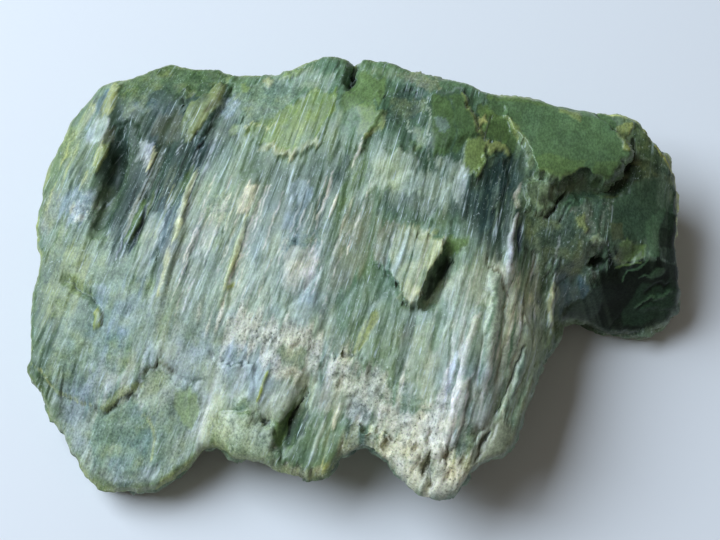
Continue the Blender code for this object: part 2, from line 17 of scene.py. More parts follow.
import bpy
import numpy as np
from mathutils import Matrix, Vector


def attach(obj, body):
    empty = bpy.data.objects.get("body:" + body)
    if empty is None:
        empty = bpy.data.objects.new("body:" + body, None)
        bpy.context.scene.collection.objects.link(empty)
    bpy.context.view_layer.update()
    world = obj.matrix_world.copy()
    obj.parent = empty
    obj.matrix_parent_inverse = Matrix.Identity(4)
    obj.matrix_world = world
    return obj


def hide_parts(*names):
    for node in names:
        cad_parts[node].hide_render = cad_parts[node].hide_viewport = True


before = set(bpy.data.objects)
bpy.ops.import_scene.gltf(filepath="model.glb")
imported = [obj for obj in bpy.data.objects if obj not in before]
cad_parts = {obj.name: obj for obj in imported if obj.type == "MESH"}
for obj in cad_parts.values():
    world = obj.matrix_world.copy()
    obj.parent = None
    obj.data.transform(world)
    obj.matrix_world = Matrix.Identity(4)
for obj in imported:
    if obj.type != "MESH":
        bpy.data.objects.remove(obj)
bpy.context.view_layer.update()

bl_info = {
    "name": "Raw serpentine",
    "version": (1, 0, 0),
    "blender": (4, 5, 0),
    "location": "View3D > Sidebar > Serpentine",
    "description": "A broken piece of fibrous serpentine rock on a plain floor",
    "category": "Object",
}

MM = 0.001
NODE = "serpentine"
BODY = "root"

# ---------------------------------------------------------------- form
# The outline seen from above, in four sides.  Each side starts where its neighbour ends.
WEST_SIDE = [
    (-46.5, -13.0), (-45.8, -11.5), (-45.9, -9.4), (-46.2, -6.6), (-46.1, -3.0), (-45.4, 0.7),
    (-45.1, 3.6), (-46.2, 7.3), (-46.1, 9.5), (-45.4, 13.2), (-44.5, 16.9), (-43.3, 20.4),
    (-41.6, 23.7), (-40.1, 25.7), (-37.2, 28.6), (-34.6, 29.7), (-32.6, 29.6)]
NORTH_SIDE = [
    (-32.6, 29.6), (-29.7, 30.9), (-27.2, 31.7), (-23.7, 30.9), (-20.2, 30.4), (-17.8, 29.1),
    (-14.9, 29.0), (-11.7, 28.8), (-9.1, 29.4), (-6.8, 30.5), (-5.1, 31.0), (-2.8, 30.9),
    (-0.9, 30.1), (3.1, 29.7), (5.9, 28.8), (8.4, 27.8), (10.7, 26.8), (12.9, 26.4),
    (15.4, 25.7), (17.2, 24.7), (18.6, 24.0), (22.4, 24.2), (25.7, 23.9), (28.3, 23.2),
    (32.3, 22.6), (35.2, 22.5), (37.2, 22.3), (39.5, 21.4), (41.2, 19.9), (42.8, 18.0),
    (44.3, 16.1)]
EAST_SIDE = [
    (43.7, -5.3), (45.5, -3.4), (45.9, -1.1), (45.6, 1.6), (45.1, 4.2), (45.5, 7.0),
    (45.5, 9.8), (45.8, 12.2), (45.3, 14.2), (44.3, 16.1)]
SOUTH_SIDE = [
    (-46.5, -13.0), (-45.9, -14.0), (-44.5, -15.6), (-43.6, -17.6), (-42.6, -19.4),
    (-40.9, -21.3), (-40.1, -24.0), (-38.6, -25.8), (-37.3, -28.0), (-35.5, -29.2),
    (-33.5, -29.4), (-30.7, -29.5), (-27.8, -29.1), (-25.6, -27.7), (-23.3, -26.2),
    (-22.1, -24.9), (-21.0, -23.8), (-19.8, -23.4), (-18.3, -24.3), (-17.2, -25.5),
    (-15.0, -25.8), (-12.5, -26.4), (-10.9, -27.2), (-9.1, -27.9), (-6.8, -28.3),
    (-4.5, -28.2), (-3.3, -26.8), (-2.3, -25.0), (-0.7, -25.1), (1.4, -24.7), (3.1, -25.6),
    (4.4, -27.0), (5.5, -28.4), (6.8, -29.7), (8.4, -31.0), (10.6, -31.7), (12.8, -31.5),
    (14.0, -30.3), (15.1, -28.6), (16.4, -27.3), (17.8, -26.7), (19.7, -26.3),
    (21.0, -24.3), (22.2, -21.9), (23.1, -19.0), (24.0, -17.2), (24.8, -14.5),
    (26.0, -12.5), (27.2, -10.9), (27.9, -8.9), (28.9, -6.1), (30.7, -5.2), (32.7, -5.4),
    (35.2, -6.1), (38.1, -6.3), (42.0, -6.1), (43.7, -5.3)]

# Spot heights of the broken top, (x, y, z).  Those on the outline set the height of the rim.
SPOT_HEIGHTS = [
    (-40, 26, 11.5), (-33, 30, 13.0), (-24, 31, 14.3), (-15, 29, 15.6), (-7, 31, 17.4),
    (-1, 30, 18.8), (8, 28, 19.7), (15, 26, 20.2), (22, 24, 19.6), (32, 23, 17.4),
    (40, 21, 16.6), (44, 16, 14.0), (46, 10, 11.4), (46, 2, 9.6), (44, -5, 5.5),
    (35, -6, 5.0), (29, -6, 9.0), (26, -12, 13.5), (23, -19, 14.2), (20, -26, 14.4),
    (15, -29, 14.0), (11, -32, 13.0), (6, -28, 12.5), (1, -25, 12.1), (-3, -27, 11.0),
    (-9, -28, 10.0), (-15, -26, 10.0), (-20, -23, 9.3), (-23, -26, 7.8), (-31, -30, 6.3),
    (-37, -28, 6.2), (-41, -21, 6.8), (-45, -16, 7.8), (-46, -12, 8.8), (-46, -3, 9.5),
    (-46, 7, 10.1), (-44, 17, 10.8), (-41, 15, 13.2), (-41, 5, 12.0), (-42, -6, 10.2),
    (-34, 14, 12.6), (-36, 26, 14.0), (-26, 25, 15.6), (-27, 10, 15.0), (-29, -1, 13.6),
    (-36, -13, 9.8), (-42, -12, 9.2), (-32, -23, 7.8), (-23, -18, 10.0), (-18, -9, 13.8),
    (-15, 9, 17.2), (-14, 23, 17.4), (-8, -1, 17.0), (-4, 24, 19.8), (-3, 11, 19.6),
    (6, 21, 22.0), (5, 10, 21.2), (7, 1, 19.2), (-1, -12, 15.2), (-11, -21, 11.8),
    (-3, -20, 12.8), (8, -16, 17.0), (11, -26, 15.2), (16, -19, 17.4), (16, -6, 19.6),
    (23, -10, 17.4), (19, 4, 20.4), (15, 17, 22.6), (22, 18, 20.0), (28, 16, 18.6),
    (35, 18, 17.2), (27, 5, 18.4), (36, 10, 16.2), (41, 13, 15.2), (39, 5, 14.6),
    (42, 1, 13.2), (34, 1, 15.8), (38, -2, 10.0)]
SPOT_SLACK = 1.5            # how far the sheet may miss its spot heights, to stay smooth

# Foot of the wall, (x, y, height of its lower edge, how far it is cut in under the rim)
FOOT_STATIONS = [
    (-40, 26, 3.0, 2.5), (-15, 29, 5.0, 4.0), (3, 30, 5.0, 4.0), (22, 24, 4.0, 3.5),
    (40, 21, 2.5, 2.5), (46, 10, 1.5, 1.2), (46, -1, 0.8, 0.8), (42, -6, 0.6, 0.6),
    (31, -5, 0.8, 0.8), (28, -8, 2.0, 2.4), (24, -16, 4.0, 4.2), (19, -26, 5.5, 4.6),
    (10, -32, 6.0, 4.6), (1, -25, 4.5, 4.4), (-9, -28, 2.6, 3.6), (-20, -23, 2.0, 3.2),
    (-31, -30, 1.6, 2.0), (-41, -21, 1.4, 1.8), (-46, -9, 2.0, 2.0), (-46, 8, 2.8, 2.4)]
CONTACT_REACH = 7.0         # from the foot of the wall to where the underside touches down
UNDERSIDE_SWELL = 1.3       # height of the hollows of the underside
UNDERSIDE_DEPTH = 9.0       # how far below the rim the underside counts as, out of the rim's light
RIM_RADIUS = 1.0            # rounding of the rim

# Plates that lie over or under their surroundings: (lift, bevel, hinge, outline).  Where a plate
# runs out at the rim of the stone, its outline is closed beyond the rim.  A tilted plate has a
# hinge: the place where it leaves the surface, and the place where it reaches its full lift.
LEVEL = None
PLATES = {
    "waxy plateau": (2.4, 1.0, ((24.0, 27.0), (29.0, 12.0)), [
        (31.0, 26.0), (33.5, 21.5), (36.2, 19.0), (38.2, 16.4), (37.5, 14.6), (35.9, 13.0), (34.8, 11.4),
        (32.2, 11.7), (31.5, 12.8), (29.1, 10.7), (26.4, 11.1), (24.4, 11.9), (23.4, 14.6),
        (21.9, 17.9), (20.5, 20.2), (19.5, 26.0)]),
    "olive plate": (0.3, 0.6, LEVEL, [
        (-2.7, 34.0), (-2.7, 24.9), (-4.2, 19.2), (-5.8, 16.4), (-8.1, 15.7), (-9.0, 14.8),
        (-11.0, 15.7), (-14.0, 17.1), (-15.6, 19.7), (-17.6, 23.9), (-17.6, 34.0)]),
    "tan flap": (0.4, 0.5, LEVEL, [
        (-25.2, 26.5), (-21.5, 27.6), (-18.4, 26.4), (-20.2, 21.9), (-22.5, 17.6),
        (-23.9, 20.5)]),
    "splinter flap": (1.5, 0.3, ((4.5, 4.5), (8.5, -3.5)), [
        (3.0, 5.0), (5.0, 4.8), (6.9, 3.6), (10.1, 3.1), (11.8, 2.8), (11.8, 0.3),
        (10.8, -1.0), (9.7, -2.8), (8.5, -5.8), (7.2, -6.9), (5.4, -4.9), (4.5, -2.3),
        (2.5, -0.5), (2.3, 1.6)]),
    "south-west lobe": (-0.5, 0.4, LEVEL, [
        (-50.0, -11.8), (-46.0, -12.5), (-42.1, -15.3), (-37.1, -18.1), (-35.1, -18.7),
        (-33.2, -17.7), (-31.7, -16.4), (-30.4, -14.9), (-28.8, -13.1), (-27.4, -12.4),
        (-25.7, -13.5), (-24.3, -14.4), (-22.5, -18.5), (-22.0, -34.0), (-50.0, -34.0)]),
    "south plate": (0.8, 0.5, LEVEL, [
        (-18.5, -19.8), (-14.2, -19.6), (-11.6, -22.1), (-12.0, -31.0), (-17.5, -31.0)]),
    "under flap": (0.9, 0.5, LEVEL, [
        (23.3, 11.3), (26.4, 11.1), (27.1, 8.4), (25.4, 6.4), (22.9, 7.0)]),
}

# Ledges that run out at both ends: (lift, bevel, fade, points).  The high side lies left of the
# way the points run, and it falls back to the level of the top behind the edge.
LEDGES = {
    "flake edge": (0.8, 0.5, 5.0, [(17.4, 16.8), (15.8, 20.5), (14.3, 25.0)]),
    "tan flake": (0.7, 0.4, 3.0, [(20.8, 14.4), (17.6, 14.2), (17.4, 12.6), (13.8, 11.2)]),
    "lobe edge": (0.4, 0.5, 5.0, [(0.6, 14.4), (1.5, 17.1), (3.6, 20.1), (4.2, 24.0)]),
    "lobe step": (0.45, 0.5, 4.0, [
        (-30.2, -18.4), (-28.6, -20.1), (-28.0, -21.7), (-28.0, -24.1), (-28.8, -26.4)]),
    "cross crack west": (0.6, 0.4, 4.0, [(-13.6, -13.4), (-16.5, -13.1), (-19.2, -12.6)]),
    "cross crack east": (0.6, 0.4, 4.0, [(0.6, -11.7), (-1.4, -12.4), (-3.9, -12.6)]),
    "broken tip": (0.8, 0.6, 5.0, [
        (12.8, -25.4), (8.7, -24.2), (5.1, -23.5), (1.6, -22.2), (-2.6, -20.4)]),
}

# Ridges (up) and grooves (down): (height, half width, points)
LINES = {
    "deep groove": (-1.4, 1.2, [(-34.1, 21.2), (-34.5, 16.7), (-35.0, 13.1), (-36.5, 5.0)]),
    "north-west ridge": (0.7, 1.0, [(-34.7, 28.4), (-36.0, 21.8), (-37.4, 14.5)]),
    "olive ridge": (0.5, 0.6, [(-29.9, 10.0), (-31.4, 6.3), (-32.8, 3.2)]),
    "cream ridge": (0.4, 0.5, [(-23.8, 13.0), (-24.9, 4.0), (-25.9, 0.7), (-27.6, -4.5)]),
    "teal groove": (-0.6, 1.1, [(-27.0, 22.1), (-28.7, 15.5), (-29.8, 9.6), (-30.8, 3.5)]),
    "flap groove": (-0.35, 0.5, [(-17.6, 26.3), (-20.0, 21.0), (-22.6, 16.6)]),
    "gap": (-2.6, 0.8, [(-0.3, 31.5), (-0.7, 27.9), (-1.0, 24.6)]),
    "teal hollow": (-0.8, 2.2, [(7.9, 24.2), (6.9, 19.0), (6.2, 14.6)]),
    "pale streak": (0.25, 0.5, [(-15.1, 6.9), (-16.8, 1.5), (-18.7, -4.2)]),
    "leg ridge": (0.9, 1.0, [(19.0, -1.0), (17.9, -10.2), (16.6, -18.8)]),
    "leg ridge west": (0.9, 1.2, [(16.3, -7.0), (14.4, -16.8), (12.4, -25.0)]),
    "leg furrow": (-0.6, 0.8, [(20.4, -2.8), (19.0, -11.5), (18.5, -18.6)]),
    "leg furrow south": (-0.7, 0.8, [(20.9, -14.3), (18.2, -21.6), (15.4, -27.5)]),
    "rod": (0.7, 0.7, [(21.6, 8.0), (20.8, 2.5), (20.0, -3.8)]),
    "rod south": (1.2, 0.9, [(27.2, 0.6), (27.2, -5.3), (26.7, -11.6)]),
    "south groove": (-2.1, 1.0, [(-6.3, -15.0), (-8.6, -19.8), (-10.9, -25.2)]),
    "flap hollow": (-2.4, 1.0, [(13.4, 1.6), (11.9, -1.6), (9.6, -7.0)]),
    "plateau shadow": (-1.8, 1.2, [
        (25.4, 7.2), (27.5, 8.7), (29.5, 10.1), (32.2, 10.6), (35.8, 10.9), (38.4, 14.0)]),
    "block crease": (-1.4, 1.2, [(29.6, -1.5), (32.6, 1.4), (36.0, 0.8), (40.0, 3.4)]),
    "west crack": (-0.7, 0.7, [(-41.6, 0.0), (-38.5, -2.2), (-35.0, -4.6)]),
    "slot": (-1.8, 0.7, [(8.2, -25.8), (9.5, -27.8), (9.9, -30.2)]),
    "south hollow": (-1.2, 1.0, [(-14.6, -20.4), (-11.0, -21.1)]),
}

# Round pits: (x, y, radius, depth)
PITS = [(33.2, 1.5, 1.3, 1.6), (3.9, -24.8, 0.7, 1.0), (8.0, -25.2, 0.6, 0.9),
        (11.7, -26.2, 0.7, 1.0), (16.0, -23.3, 0.8, 1.0)]

# ---------------------------------------------------------------- finer form
# Round pits that are too fine for the solid: (x, y, radius, depth)
FINE_PITS = [(-8.6, 2.6, 0.4, 0.4), (1.0, -22.0, 0.5, 0.6), (9.8, -23.2, 0.4, 0.7),
             (4.6, -27.0, 0.5, 0.8), (6.4, -29.0, 0.45, 0.7), (12.0, -28.6, 0.45, 0.6),
             (-6.0, -11.8, 0.5, 0.5), (-20.0, -12.0, 0.45, 0.5), (22.6, -23.4, 0.35, 0.5)]

# How the top broke, as spots that follow the fibres: (x, y, half width, half length, strength).
# Where none of these lies, it is fibrous.
WAXY_SPOTS = [
    (30.0, 17.5, 9.5, 6.5, 1.0), (20.5, 20.5, 3.5, 5.0, 0.9), (-9.0, 21.5, 6.5, 5.0, 0.85),
    (12.5, 19.5, 2.8, 6.0, 0.85), (0.8, 22.0, 3.0, 5.0, 0.7), (39.0, 9.0, 5.0, 7.5, 0.85),
    (25.0, 9.3, 2.2, 2.8, 0.7), (39.0, -2.0, 8.0, 4.6, 0.8), (-20.8, 22.5, 2.2, 5.0, 0.6),
    (-29.0, 27.5, 5.5, 3.0, 0.6), (-23.0, -18.0, 1.6, 4.0, 0.8)]
CRUMBLY_SPOTS = [
    (6.0, -26.5, 7.5, 4.5, 1.0), (10.5, -22.5, 3.0, 4.0, 0.7), (-10.5, -11.0, 9.5, 3.6, 0.9),
    (-0.5, -17.5, 6.4, 4.4, 0.9), (29.5, 3.0, 4.4, 6.6, 0.35), (-8.0, -26.5, 9.0, 2.0, 0.7),
    (-39.0, 9.5, 3.0, 3.4, 0.5), (33.0, 4.6, 4.4, 2.4, 0.25), (41.0, 19.0, 2.0, 4.4, 0.6)]
MOTTLED_SPOTS = [
    (-37.0, -4.0, 9.5, 9.5, 0.9), (-33.0, -21.0, 10.0, 9.0, 0.9), (-24.0, -9.0, 9.0, 5.0, 0.7),
    (-15.0, -22.0, 4.0, 4.0, 0.7), (-8.0, -1.0, 3.0, 4.2, 0.4), (2.0, 11.5, 5.5, 2.6, 0.5)]

# Drawn shapes keep their edges here, instead of ending in torn fibres: on the mottled crust, and on
# the waxy stone east of this x.
UNTORN_EAST = 28.0
UNTORN_SPOTS = MOTTLED_SPOTS + [spot for spot in WAXY_SPOTS if spot[0] > UNTORN_EAST]

FIBRE_TURN = 0.33           # sideways run of the fibres for each unit along +Y, at x = 0
FIBRE_FAN = -0.0045         # change of that run for each millimetre along +X
FIBRE_TURN_LIMITS = (0.16, 0.42)
SPOT_FRAY = 0.5             # how far the edge of a spot strays, as a share of its half width

# Splinters stand at different levels; ribs are the rounded fibres on them: (width, length, height)
SPLINTERS = [(4.2, 40.0, 0.17), (2.1, 30.0, 0.11)]
RIBS = [(1.5, 34.0, 0.07), (0.8, 24.0, 0.05), (0.45, 12.0, 0.035)]
SWELL = (9.0, 24.0, 0.34)   # width, length and height of the slow waves of the surface
CRUMBS = [(1.6, 0.20), (0.8, 0.14)]         # (size, height) of the crumbs
SHELLS = [(5.0, 0.14), (2.2, 0.04)]         # (size, height) of the shallow waxy shells
MOTTLES = [(2.6, 0.12), (1.0, 0.08)]        # (size, height) of the mottled crust
BREAK = (6.5, 0.55)         # size and height of the blocky fracture on the wall and the underside
# Broken layers on the wall, which run level: (size across, along and up, height)
LAYERS = [(7.0, 9.0, 2.6, 0.60), (2.4, 5.0, 1.4, 0.30)]
LAYER_SALT = 42             # relief, texture and colour of a layer share this noise
RIM_CALM = 0.8              # the small relief dies down over this distance to the rim
REST_CLEARANCE = 0.8        # relief dies out over this height above the resting plane

GRID_ACROSS = 221
GRID_ALONG = 81
UNFOLD_STEPS = 400
REFINE = 2                  # the top has this many cells for each one of the unfolded grid
FINE_WALL_ROWS = 6          # the upper rows, which have as many points as the rim of the top
WALL_ROWS = 24
WALL_BOW = 1.7              # above 1, the wall goes down first and then in under the stone
BEVEL_SHARE = 0.65          # share of a bevel's width in which its edge rises
SEED = 41

# ---------------------------------------------------------------- noise
# Every noise has a salt, a number that keeps it from looking like another one.
RANDOM = np.random.default_rng(SEED)
SHUFFLE = RANDOM.permutation(256)
CHANCE = RANDOM.uniform(-1.0, 1.0, (256, 4))


def unit(value):
    """The value, held between 0 and 1."""
    return np.clip(value, 0.0, 1.0)


def smoothstep(value):
    """0 below 0, 1 above 1, and an easy curve between."""
    clipped = unit(value)
    return clipped * clipped * (3.0 - 2.0 * clipped)


def cell_index(ix, iy, iz, salt):
    """A shuffled number from 0 to 255 for each whole-number cell."""
    first = SHUFFLE[(ix + salt) & 255]
    second = SHUFFLE[(first + iy) & 255]
    return SHUFFLE[(second + iz) & 255]


def value_noise(points, salt):
    """Smooth noise in [-1, 1] with a cell size of one unit."""
    base = np.floor(points).astype(int)
    blend = smoothstep(points - base)
    total = np.zeros(len(points))
    for corner in np.ndindex(2, 2, 2):
        weight = np.prod(np.where(corner, blend, 1.0 - blend), axis=1)
        ix, iy, iz = (base + corner).T
        total += weight * CHANCE[cell_index(ix, iy, iz, salt), 0]
    return total


def splinter_cells(points, salt):
    """Random level of the nearest jittered cell, in [-1, 1], and the gap to the next cell."""
    base = np.floor(points).astype(int)
    nearest = np.full(len(points), 9.0)
    second = np.full(len(points), 9.0)
    level = np.zeros(len(points))
    for step in np.ndindex(3, 3, 3):
        cell = base + np.array(step) - 1
        chance = CHANCE[cell_index(*cell.T, salt)]
        distance = np.linalg.norm(cell + 0.5 + 0.45 * chance[:, :3] - points, axis=1)
        closer = distance < nearest
        second = np.where(closer, nearest, np.minimum(second, distance))
        level = np.where(closer, chance[:, 3], level)
        nearest = np.where(closer, distance, nearest)
    return level, second - nearest


def fibre_noise(fibre, width, length, salt):
    """Noise in [-1, 1] of side-by-side fibres, each of which changes slowly along itself.

    Every column across the fibres has its own start, so that no two fibres change at one place.
    """
    across = (fibre[:, 0] + 0.45 * fibre[:, 2]) / width
    column = np.floor(across).astype(int)
    blend = smoothstep(across - column)
    total = np.zeros(len(fibre))
    for step, weight in ((0, 1.0 - blend), (1, blend)):
        start = 40.0 * CHANCE[cell_index(column + step, 0, 7, salt), 1]
        place = fibre[:, 1] / length + start
        below = np.floor(place).astype(int)
        rise = smoothstep(place - below)
        low = CHANCE[cell_index(column + step, below, 3, salt), 0]
        high = CHANCE[cell_index(column + step, below + 1, 3, salt), 0]
        total += weight * (low + (high - low) * rise)
    return total


def fibre_turn(x):
    """Sideways run of the fibres at x: it changes evenly along x and stays within its limits."""
    return np.clip(FIBRE_TURN + FIBRE_FAN * x, *FIBRE_TURN_LIMITS)


def fibre_coordinates(points):
    """Across the fibres, along them, and up, in millimetres."""
    x, y, z = points.T
    turn = fibre_turn(x)
    return np.stack([x - turn * y, y + turn * x, z], axis=1)


# ---------------------------------------------------------------- plan
def resample(side, fractions):
    """Points along a side; the steps are even half along it and half across the fibres."""
    points = np.array(side)
    steps = np.diff(points, axis=0)
    walked = np.hypot(*steps.T)
    crossed = np.abs(steps[:, 0] - FIBRE_TURN * steps[:, 1])
    share = walked / walked.sum() + crossed / crossed.sum()
    reached = np.concatenate([[0.0], np.cumsum(share)]) / share.sum()
    return np.stack([np.interp(fractions, reached, points[:, axis]) for axis in (0, 1)], axis=1)


def level_points(x, y):
    """Places in plan as rows of x, y and zero."""
    return np.stack([np.ravel(x), np.ravel(y), np.zeros(np.size(x))], axis=1)


def nicked(points):
    """Places of the outline shifted a little, so that it is broken into small nicks."""
    flat = level_points(*points.T)
    shift = [size * value_noise(flat / cell, salt + axis)
             for axis in (0, 1) for cell, size, salt in ((1.7, 0.16, 17), (0.8, 0.15, 19))]
    return points + np.stack([shift[0] + shift[1], shift[2] + shift[3]], axis=1)


def stretched_grid(south, north, west, east):
    """A grid over the area between four sides: each point blends the sides facing it."""
    across = np.linspace(0.0, 1.0, len(south))[None, :, None]
    along = np.linspace(0.0, 1.0, len(west))[:, None, None]
    ruled = (1 - along) * south[None] + along * north[None]
    ruled = ruled + (1 - across) * west[:, None] + across * east[:, None]
    corners = (1 - along) * ((1 - across) * south[0] + across * south[-1])
    corners = corners + along * ((1 - across) * north[0] + across * north[-1])
    return unfold(ruled - corners)


def unfold(grid):
    """Ease the inner points of a grid until none of its cells is folded over."""
    for _ in range(UNFOLD_STEPS):
        inner = grid[1:-1, 1:-1]
        across = 0.5 * (grid[1:-1, 2:] - grid[1:-1, :-2])
        along = 0.5 * (grid[2:, 1:-1] - grid[:-2, 1:-1])
        twist = 0.25 * (grid[2:, 2:] - grid[2:, :-2] - grid[:-2, 2:] + grid[:-2, :-2])
        slack = 1e-3
        width = (across ** 2).sum(axis=2, keepdims=True) + slack
        depth = (along ** 2).sum(axis=2, keepdims=True) + slack
        shear = (across * along).sum(axis=2, keepdims=True)
        pull = depth * (grid[1:-1, 2:] + grid[1:-1, :-2])
        pull = pull + width * (grid[2:, 1:-1] + grid[:-2, 1:-1]) - 2.0 * shear * twist
        eased = pull / (2.0 * (width + depth))
        grid = grid.copy()
        grid[1:-1, 1:-1] = 0.3 * inner + 0.7 * eased
    return grid


def loop_of(grid):
    """The border of a grid, once round: south side, east, north and west."""
    return np.concatenate([grid[0, :-1], grid[:-1, -1], grid[-1, :0:-1], grid[:0:-1, 0]])


def line_distance(points, x, y):
    """Distance to a line of points, which side (+1 is left), and how far along it, 0 to 1."""
    ends = np.array(points)
    lengths = np.hypot(*np.diff(ends, axis=0).T)
    starts = np.concatenate([[0.0], np.cumsum(lengths)])
    distance = np.full(np.shape(x), 1e6)
    side = np.ones(np.shape(x))
    along = np.zeros(np.shape(x))
    for start, end, length, begun in zip(ends[:-1], ends[1:], lengths, starts):
        step = (end - start) / length
        walked = np.clip((x - start[0]) * step[0] + (y - start[1]) * step[1], 0.0, length)
        off_x = x - start[0] - walked * step[0]
        off_y = y - start[1] - walked * step[1]
        apart = np.hypot(off_x, off_y)
        closer = apart < distance
        side = np.where(closer, np.sign(step[0] * off_y - step[1] * off_x), side)
        along = np.where(closer, (begun + walked) / starts[-1], along)
        distance = np.where(closer, apart, distance)
    return distance, side, along


def torn(x, y):
    """Places shifted a little along the fibres, each fibre by its own amount.

    A shape drawn at the shifted places ends in torn fibres, and keeps its edges along them.
    """
    flat = level_points(x, y)
    fibre = fibre_coordinates(flat)
    pull = 0.55 * fibre_noise(fibre, 0.5, 7.0, 11) + 0.35 * fibre_noise(fibre, 0.25, 3.0, 12)
    turn = fibre_turn(flat[:, 0])
    for spot_x, spot_y, half_width, half_length, strength in UNTORN_SPOTS:
        reach = np.hypot((flat[:, 0] - spot_x) / half_width, (flat[:, 1] - spot_y) / half_length)
        pull = pull * (1.0 - 0.8 * strength * smoothstep(1.8 - reach))
    wander = [0.22 * value_noise(flat / 0.9, 13 + axis) for axis in (0, 1)]
    shift_x = (turn * pull + wander[0]).reshape(np.shape(x))
    shift_y = (pull + wander[1]).reshape(np.shape(y))
    return x + shift_x, y + shift_y


def inside_depth(polygon, x, y):
    """How far inside a closed outline each place is; negative outside."""
    closed = polygon + polygon[:1]
    distance, _, _ = line_distance(closed, x, y)
    crossings = np.zeros(np.shape(x), dtype=int)
    for (ax, ay), (bx, by) in zip(closed[:-1], closed[1:]):
        straddles = (ay > y) != (by > y)
        level = (y - ay) / (by - ay if by != ay else 1.0)
        crossings += straddles & (x < ax + level * (bx - ax))
    return np.where(crossings % 2 == 1, distance, -distance)


def inset_loop(loop, amounts):
    """A loop moved inwards, with its corners eased."""
    ahead = np.roll(loop, -3, axis=0) - np.roll(loop, 3, axis=0)
    inward = np.stack([-ahead[:, 1], ahead[:, 0]], axis=1)
    inward /= np.linalg.norm(inward, axis=1)[:, None]
    moved = loop + inward * amounts[:, None]
    for _ in range(8):
        moved = 0.5 * moved + 0.25 * (np.roll(moved, 1, axis=0) + np.roll(moved, -1, axis=0))
    return moved


# ---------------------------------------------------------------- height of the top
def thin_sheet(spots, slack):
    """The smoothest sheet near a set of spot heights, as a function of x and y."""
    table = np.array(spots, dtype=float)
    places, heights = table[:, :2], table[:, 2]
    count = len(places)

    def bend(distance):
        return distance ** 2 * np.log(np.maximum(distance, 1e-9))

    apart = np.linalg.norm(places[:, None] - places[None], axis=2)
    system = np.zeros((count + 3, count + 3))
    system[:count, :count] = bend(apart) + slack * np.eye(count)
    system[:count, count] = 1.0
    system[:count, count + 1:] = places
    system[count:, :count] = system[:count, count:].T
    weights = np.linalg.solve(system, np.concatenate([heights, np.zeros(3)]))

    def height(x, y):
        total = weights[count] + weights[count + 1] * x + weights[count + 2] * y
        for (spot_x, spot_y), weight in zip(places, weights[:count]):
            total = total + weight * bend(np.hypot(x - spot_x, y - spot_y))
        return total

    return height


def ragged(x, y, size, salt):
    """A shift in millimetres that makes a drawn edge look torn: two noises, of size and 0.45 size."""
    flat = level_points(x, y)
    shift = value_noise(flat / size, salt) + 0.5 * value_noise(flat / (0.45 * size), salt + 1)
    return (0.4 * size * shift).reshape(np.shape(x))


def plate_relief(x, y):
    """Plates lifted above or sunk below their surroundings, with torn edges."""
    relief = np.zeros_like(x)
    for salt, (lift, bevel, hinge, outline) in enumerate(PLATES.values()):
        depth = inside_depth(outline, x, y) + ragged(x, y, 1.2, 100 + 5 * salt)
        plate = lift * smoothstep(depth / (BEVEL_SHARE * bevel) + 0.5)
        if hinge:
            (start_x, start_y), (full_x, full_y) = hinge
            run_x, run_y = full_x - start_x, full_y - start_y
            risen = ((x - start_x) * run_x + (y - start_y) * run_y) / (run_x ** 2 + run_y ** 2)
            plate = plate * smoothstep(risen)
        relief += plate
    return relief


def ledge_relief(x, y):
    """Short steps; each fades out behind its edge and towards both ends."""
    relief = np.zeros_like(x)
    for salt, (lift, bevel, fade, points) in enumerate(LEDGES.values()):
        distance, side, along = line_distance(points, x, y)
        behind = distance * side + ragged(x, y, 1.4, 10 * salt)
        ends = smoothstep(along / 0.12) * smoothstep((1.0 - along) / 0.12)
        step = smoothstep(behind / (BEVEL_SHARE * bevel))
        relief += lift * ends * step * np.exp(-np.maximum(behind, 0) / fade)
    return relief


def line_relief(x, y):
    """Ridges and grooves, deepest half way along and pinched out at their ends."""
    relief = np.zeros_like(x)
    for height, half_width, points in LINES.values():
        distance, _, along = line_distance(points, x, y)
        taper = np.sqrt(unit(4.0 * along * (1.0 - along)))
        relief += height * taper * np.exp(-(distance / half_width) ** 2)
    return relief


def pit_relief(x, y):
    """Round pits with a flat floor."""
    relief = np.zeros_like(x)
    for pit_x, pit_y, radius, depth in PITS + FINE_PITS:
        relief -= depth * np.exp(-(np.hypot(x - pit_x, y - pit_y) / radius) ** 4)
    return relief


def top_height(x, y, rim_distance):
    """Height of the top: the sheet, its relief and the rounding at the rim."""
    height = thin_sheet(SPOT_HEIGHTS, SPOT_SLACK)(x, y)
    x, y = torn(x, y)
    shelter = 0.4 + 0.6 * smoothstep(rim_distance / 2.0)
    height += shelter * (plate_relief(x, y) + ledge_relief(x, y)) + line_relief(x, y)
    height += pit_relief(x, y)
    near_rim = unit(1.0 - rim_distance / RIM_RADIUS)
    return height - RIM_RADIUS * (1.0 - np.sqrt(1.0 - near_rim ** 2))


# ---------------------------------------------------------------- wall and underside
def foot_values(loop):
    """Height and undercut of the foot of the wall, blended between the nearest stations."""
    table = np.array(FOOT_STATIONS)
    apart = np.linalg.norm(loop[:, None] - table[None, :, :2], axis=2)
    weights = 1.0 / (apart + 0.5) ** 3
    weights /= weights.sum(axis=1)[:, None]
    return weights @ table[:, 2], weights @ table[:, 3]


def underside_height(grid, foot_loop, foot_height):
    """The underside rises to the foot of the wall and swells in hollows between its rests."""
    x, y = grid[..., 0], grid[..., 1]
    border = np.vstack([foot_loop, foot_loop[:1]])
    distance, _, along = line_distance(border, x, y)
    lift = np.interp(along, np.linspace(0.0, 1.0, len(foot_height)), foot_height)
    flat = level_points(x, y)
    swell = UNDERSIDE_SWELL * value_noise(flat / 13.0, 90).reshape(x.shape)
    inner = smoothstep(distance / CONTACT_REACH)
    return np.maximum(lift * (1.0 - inner) + inner * np.maximum(swell - 0.1, 0.0), 0.0)


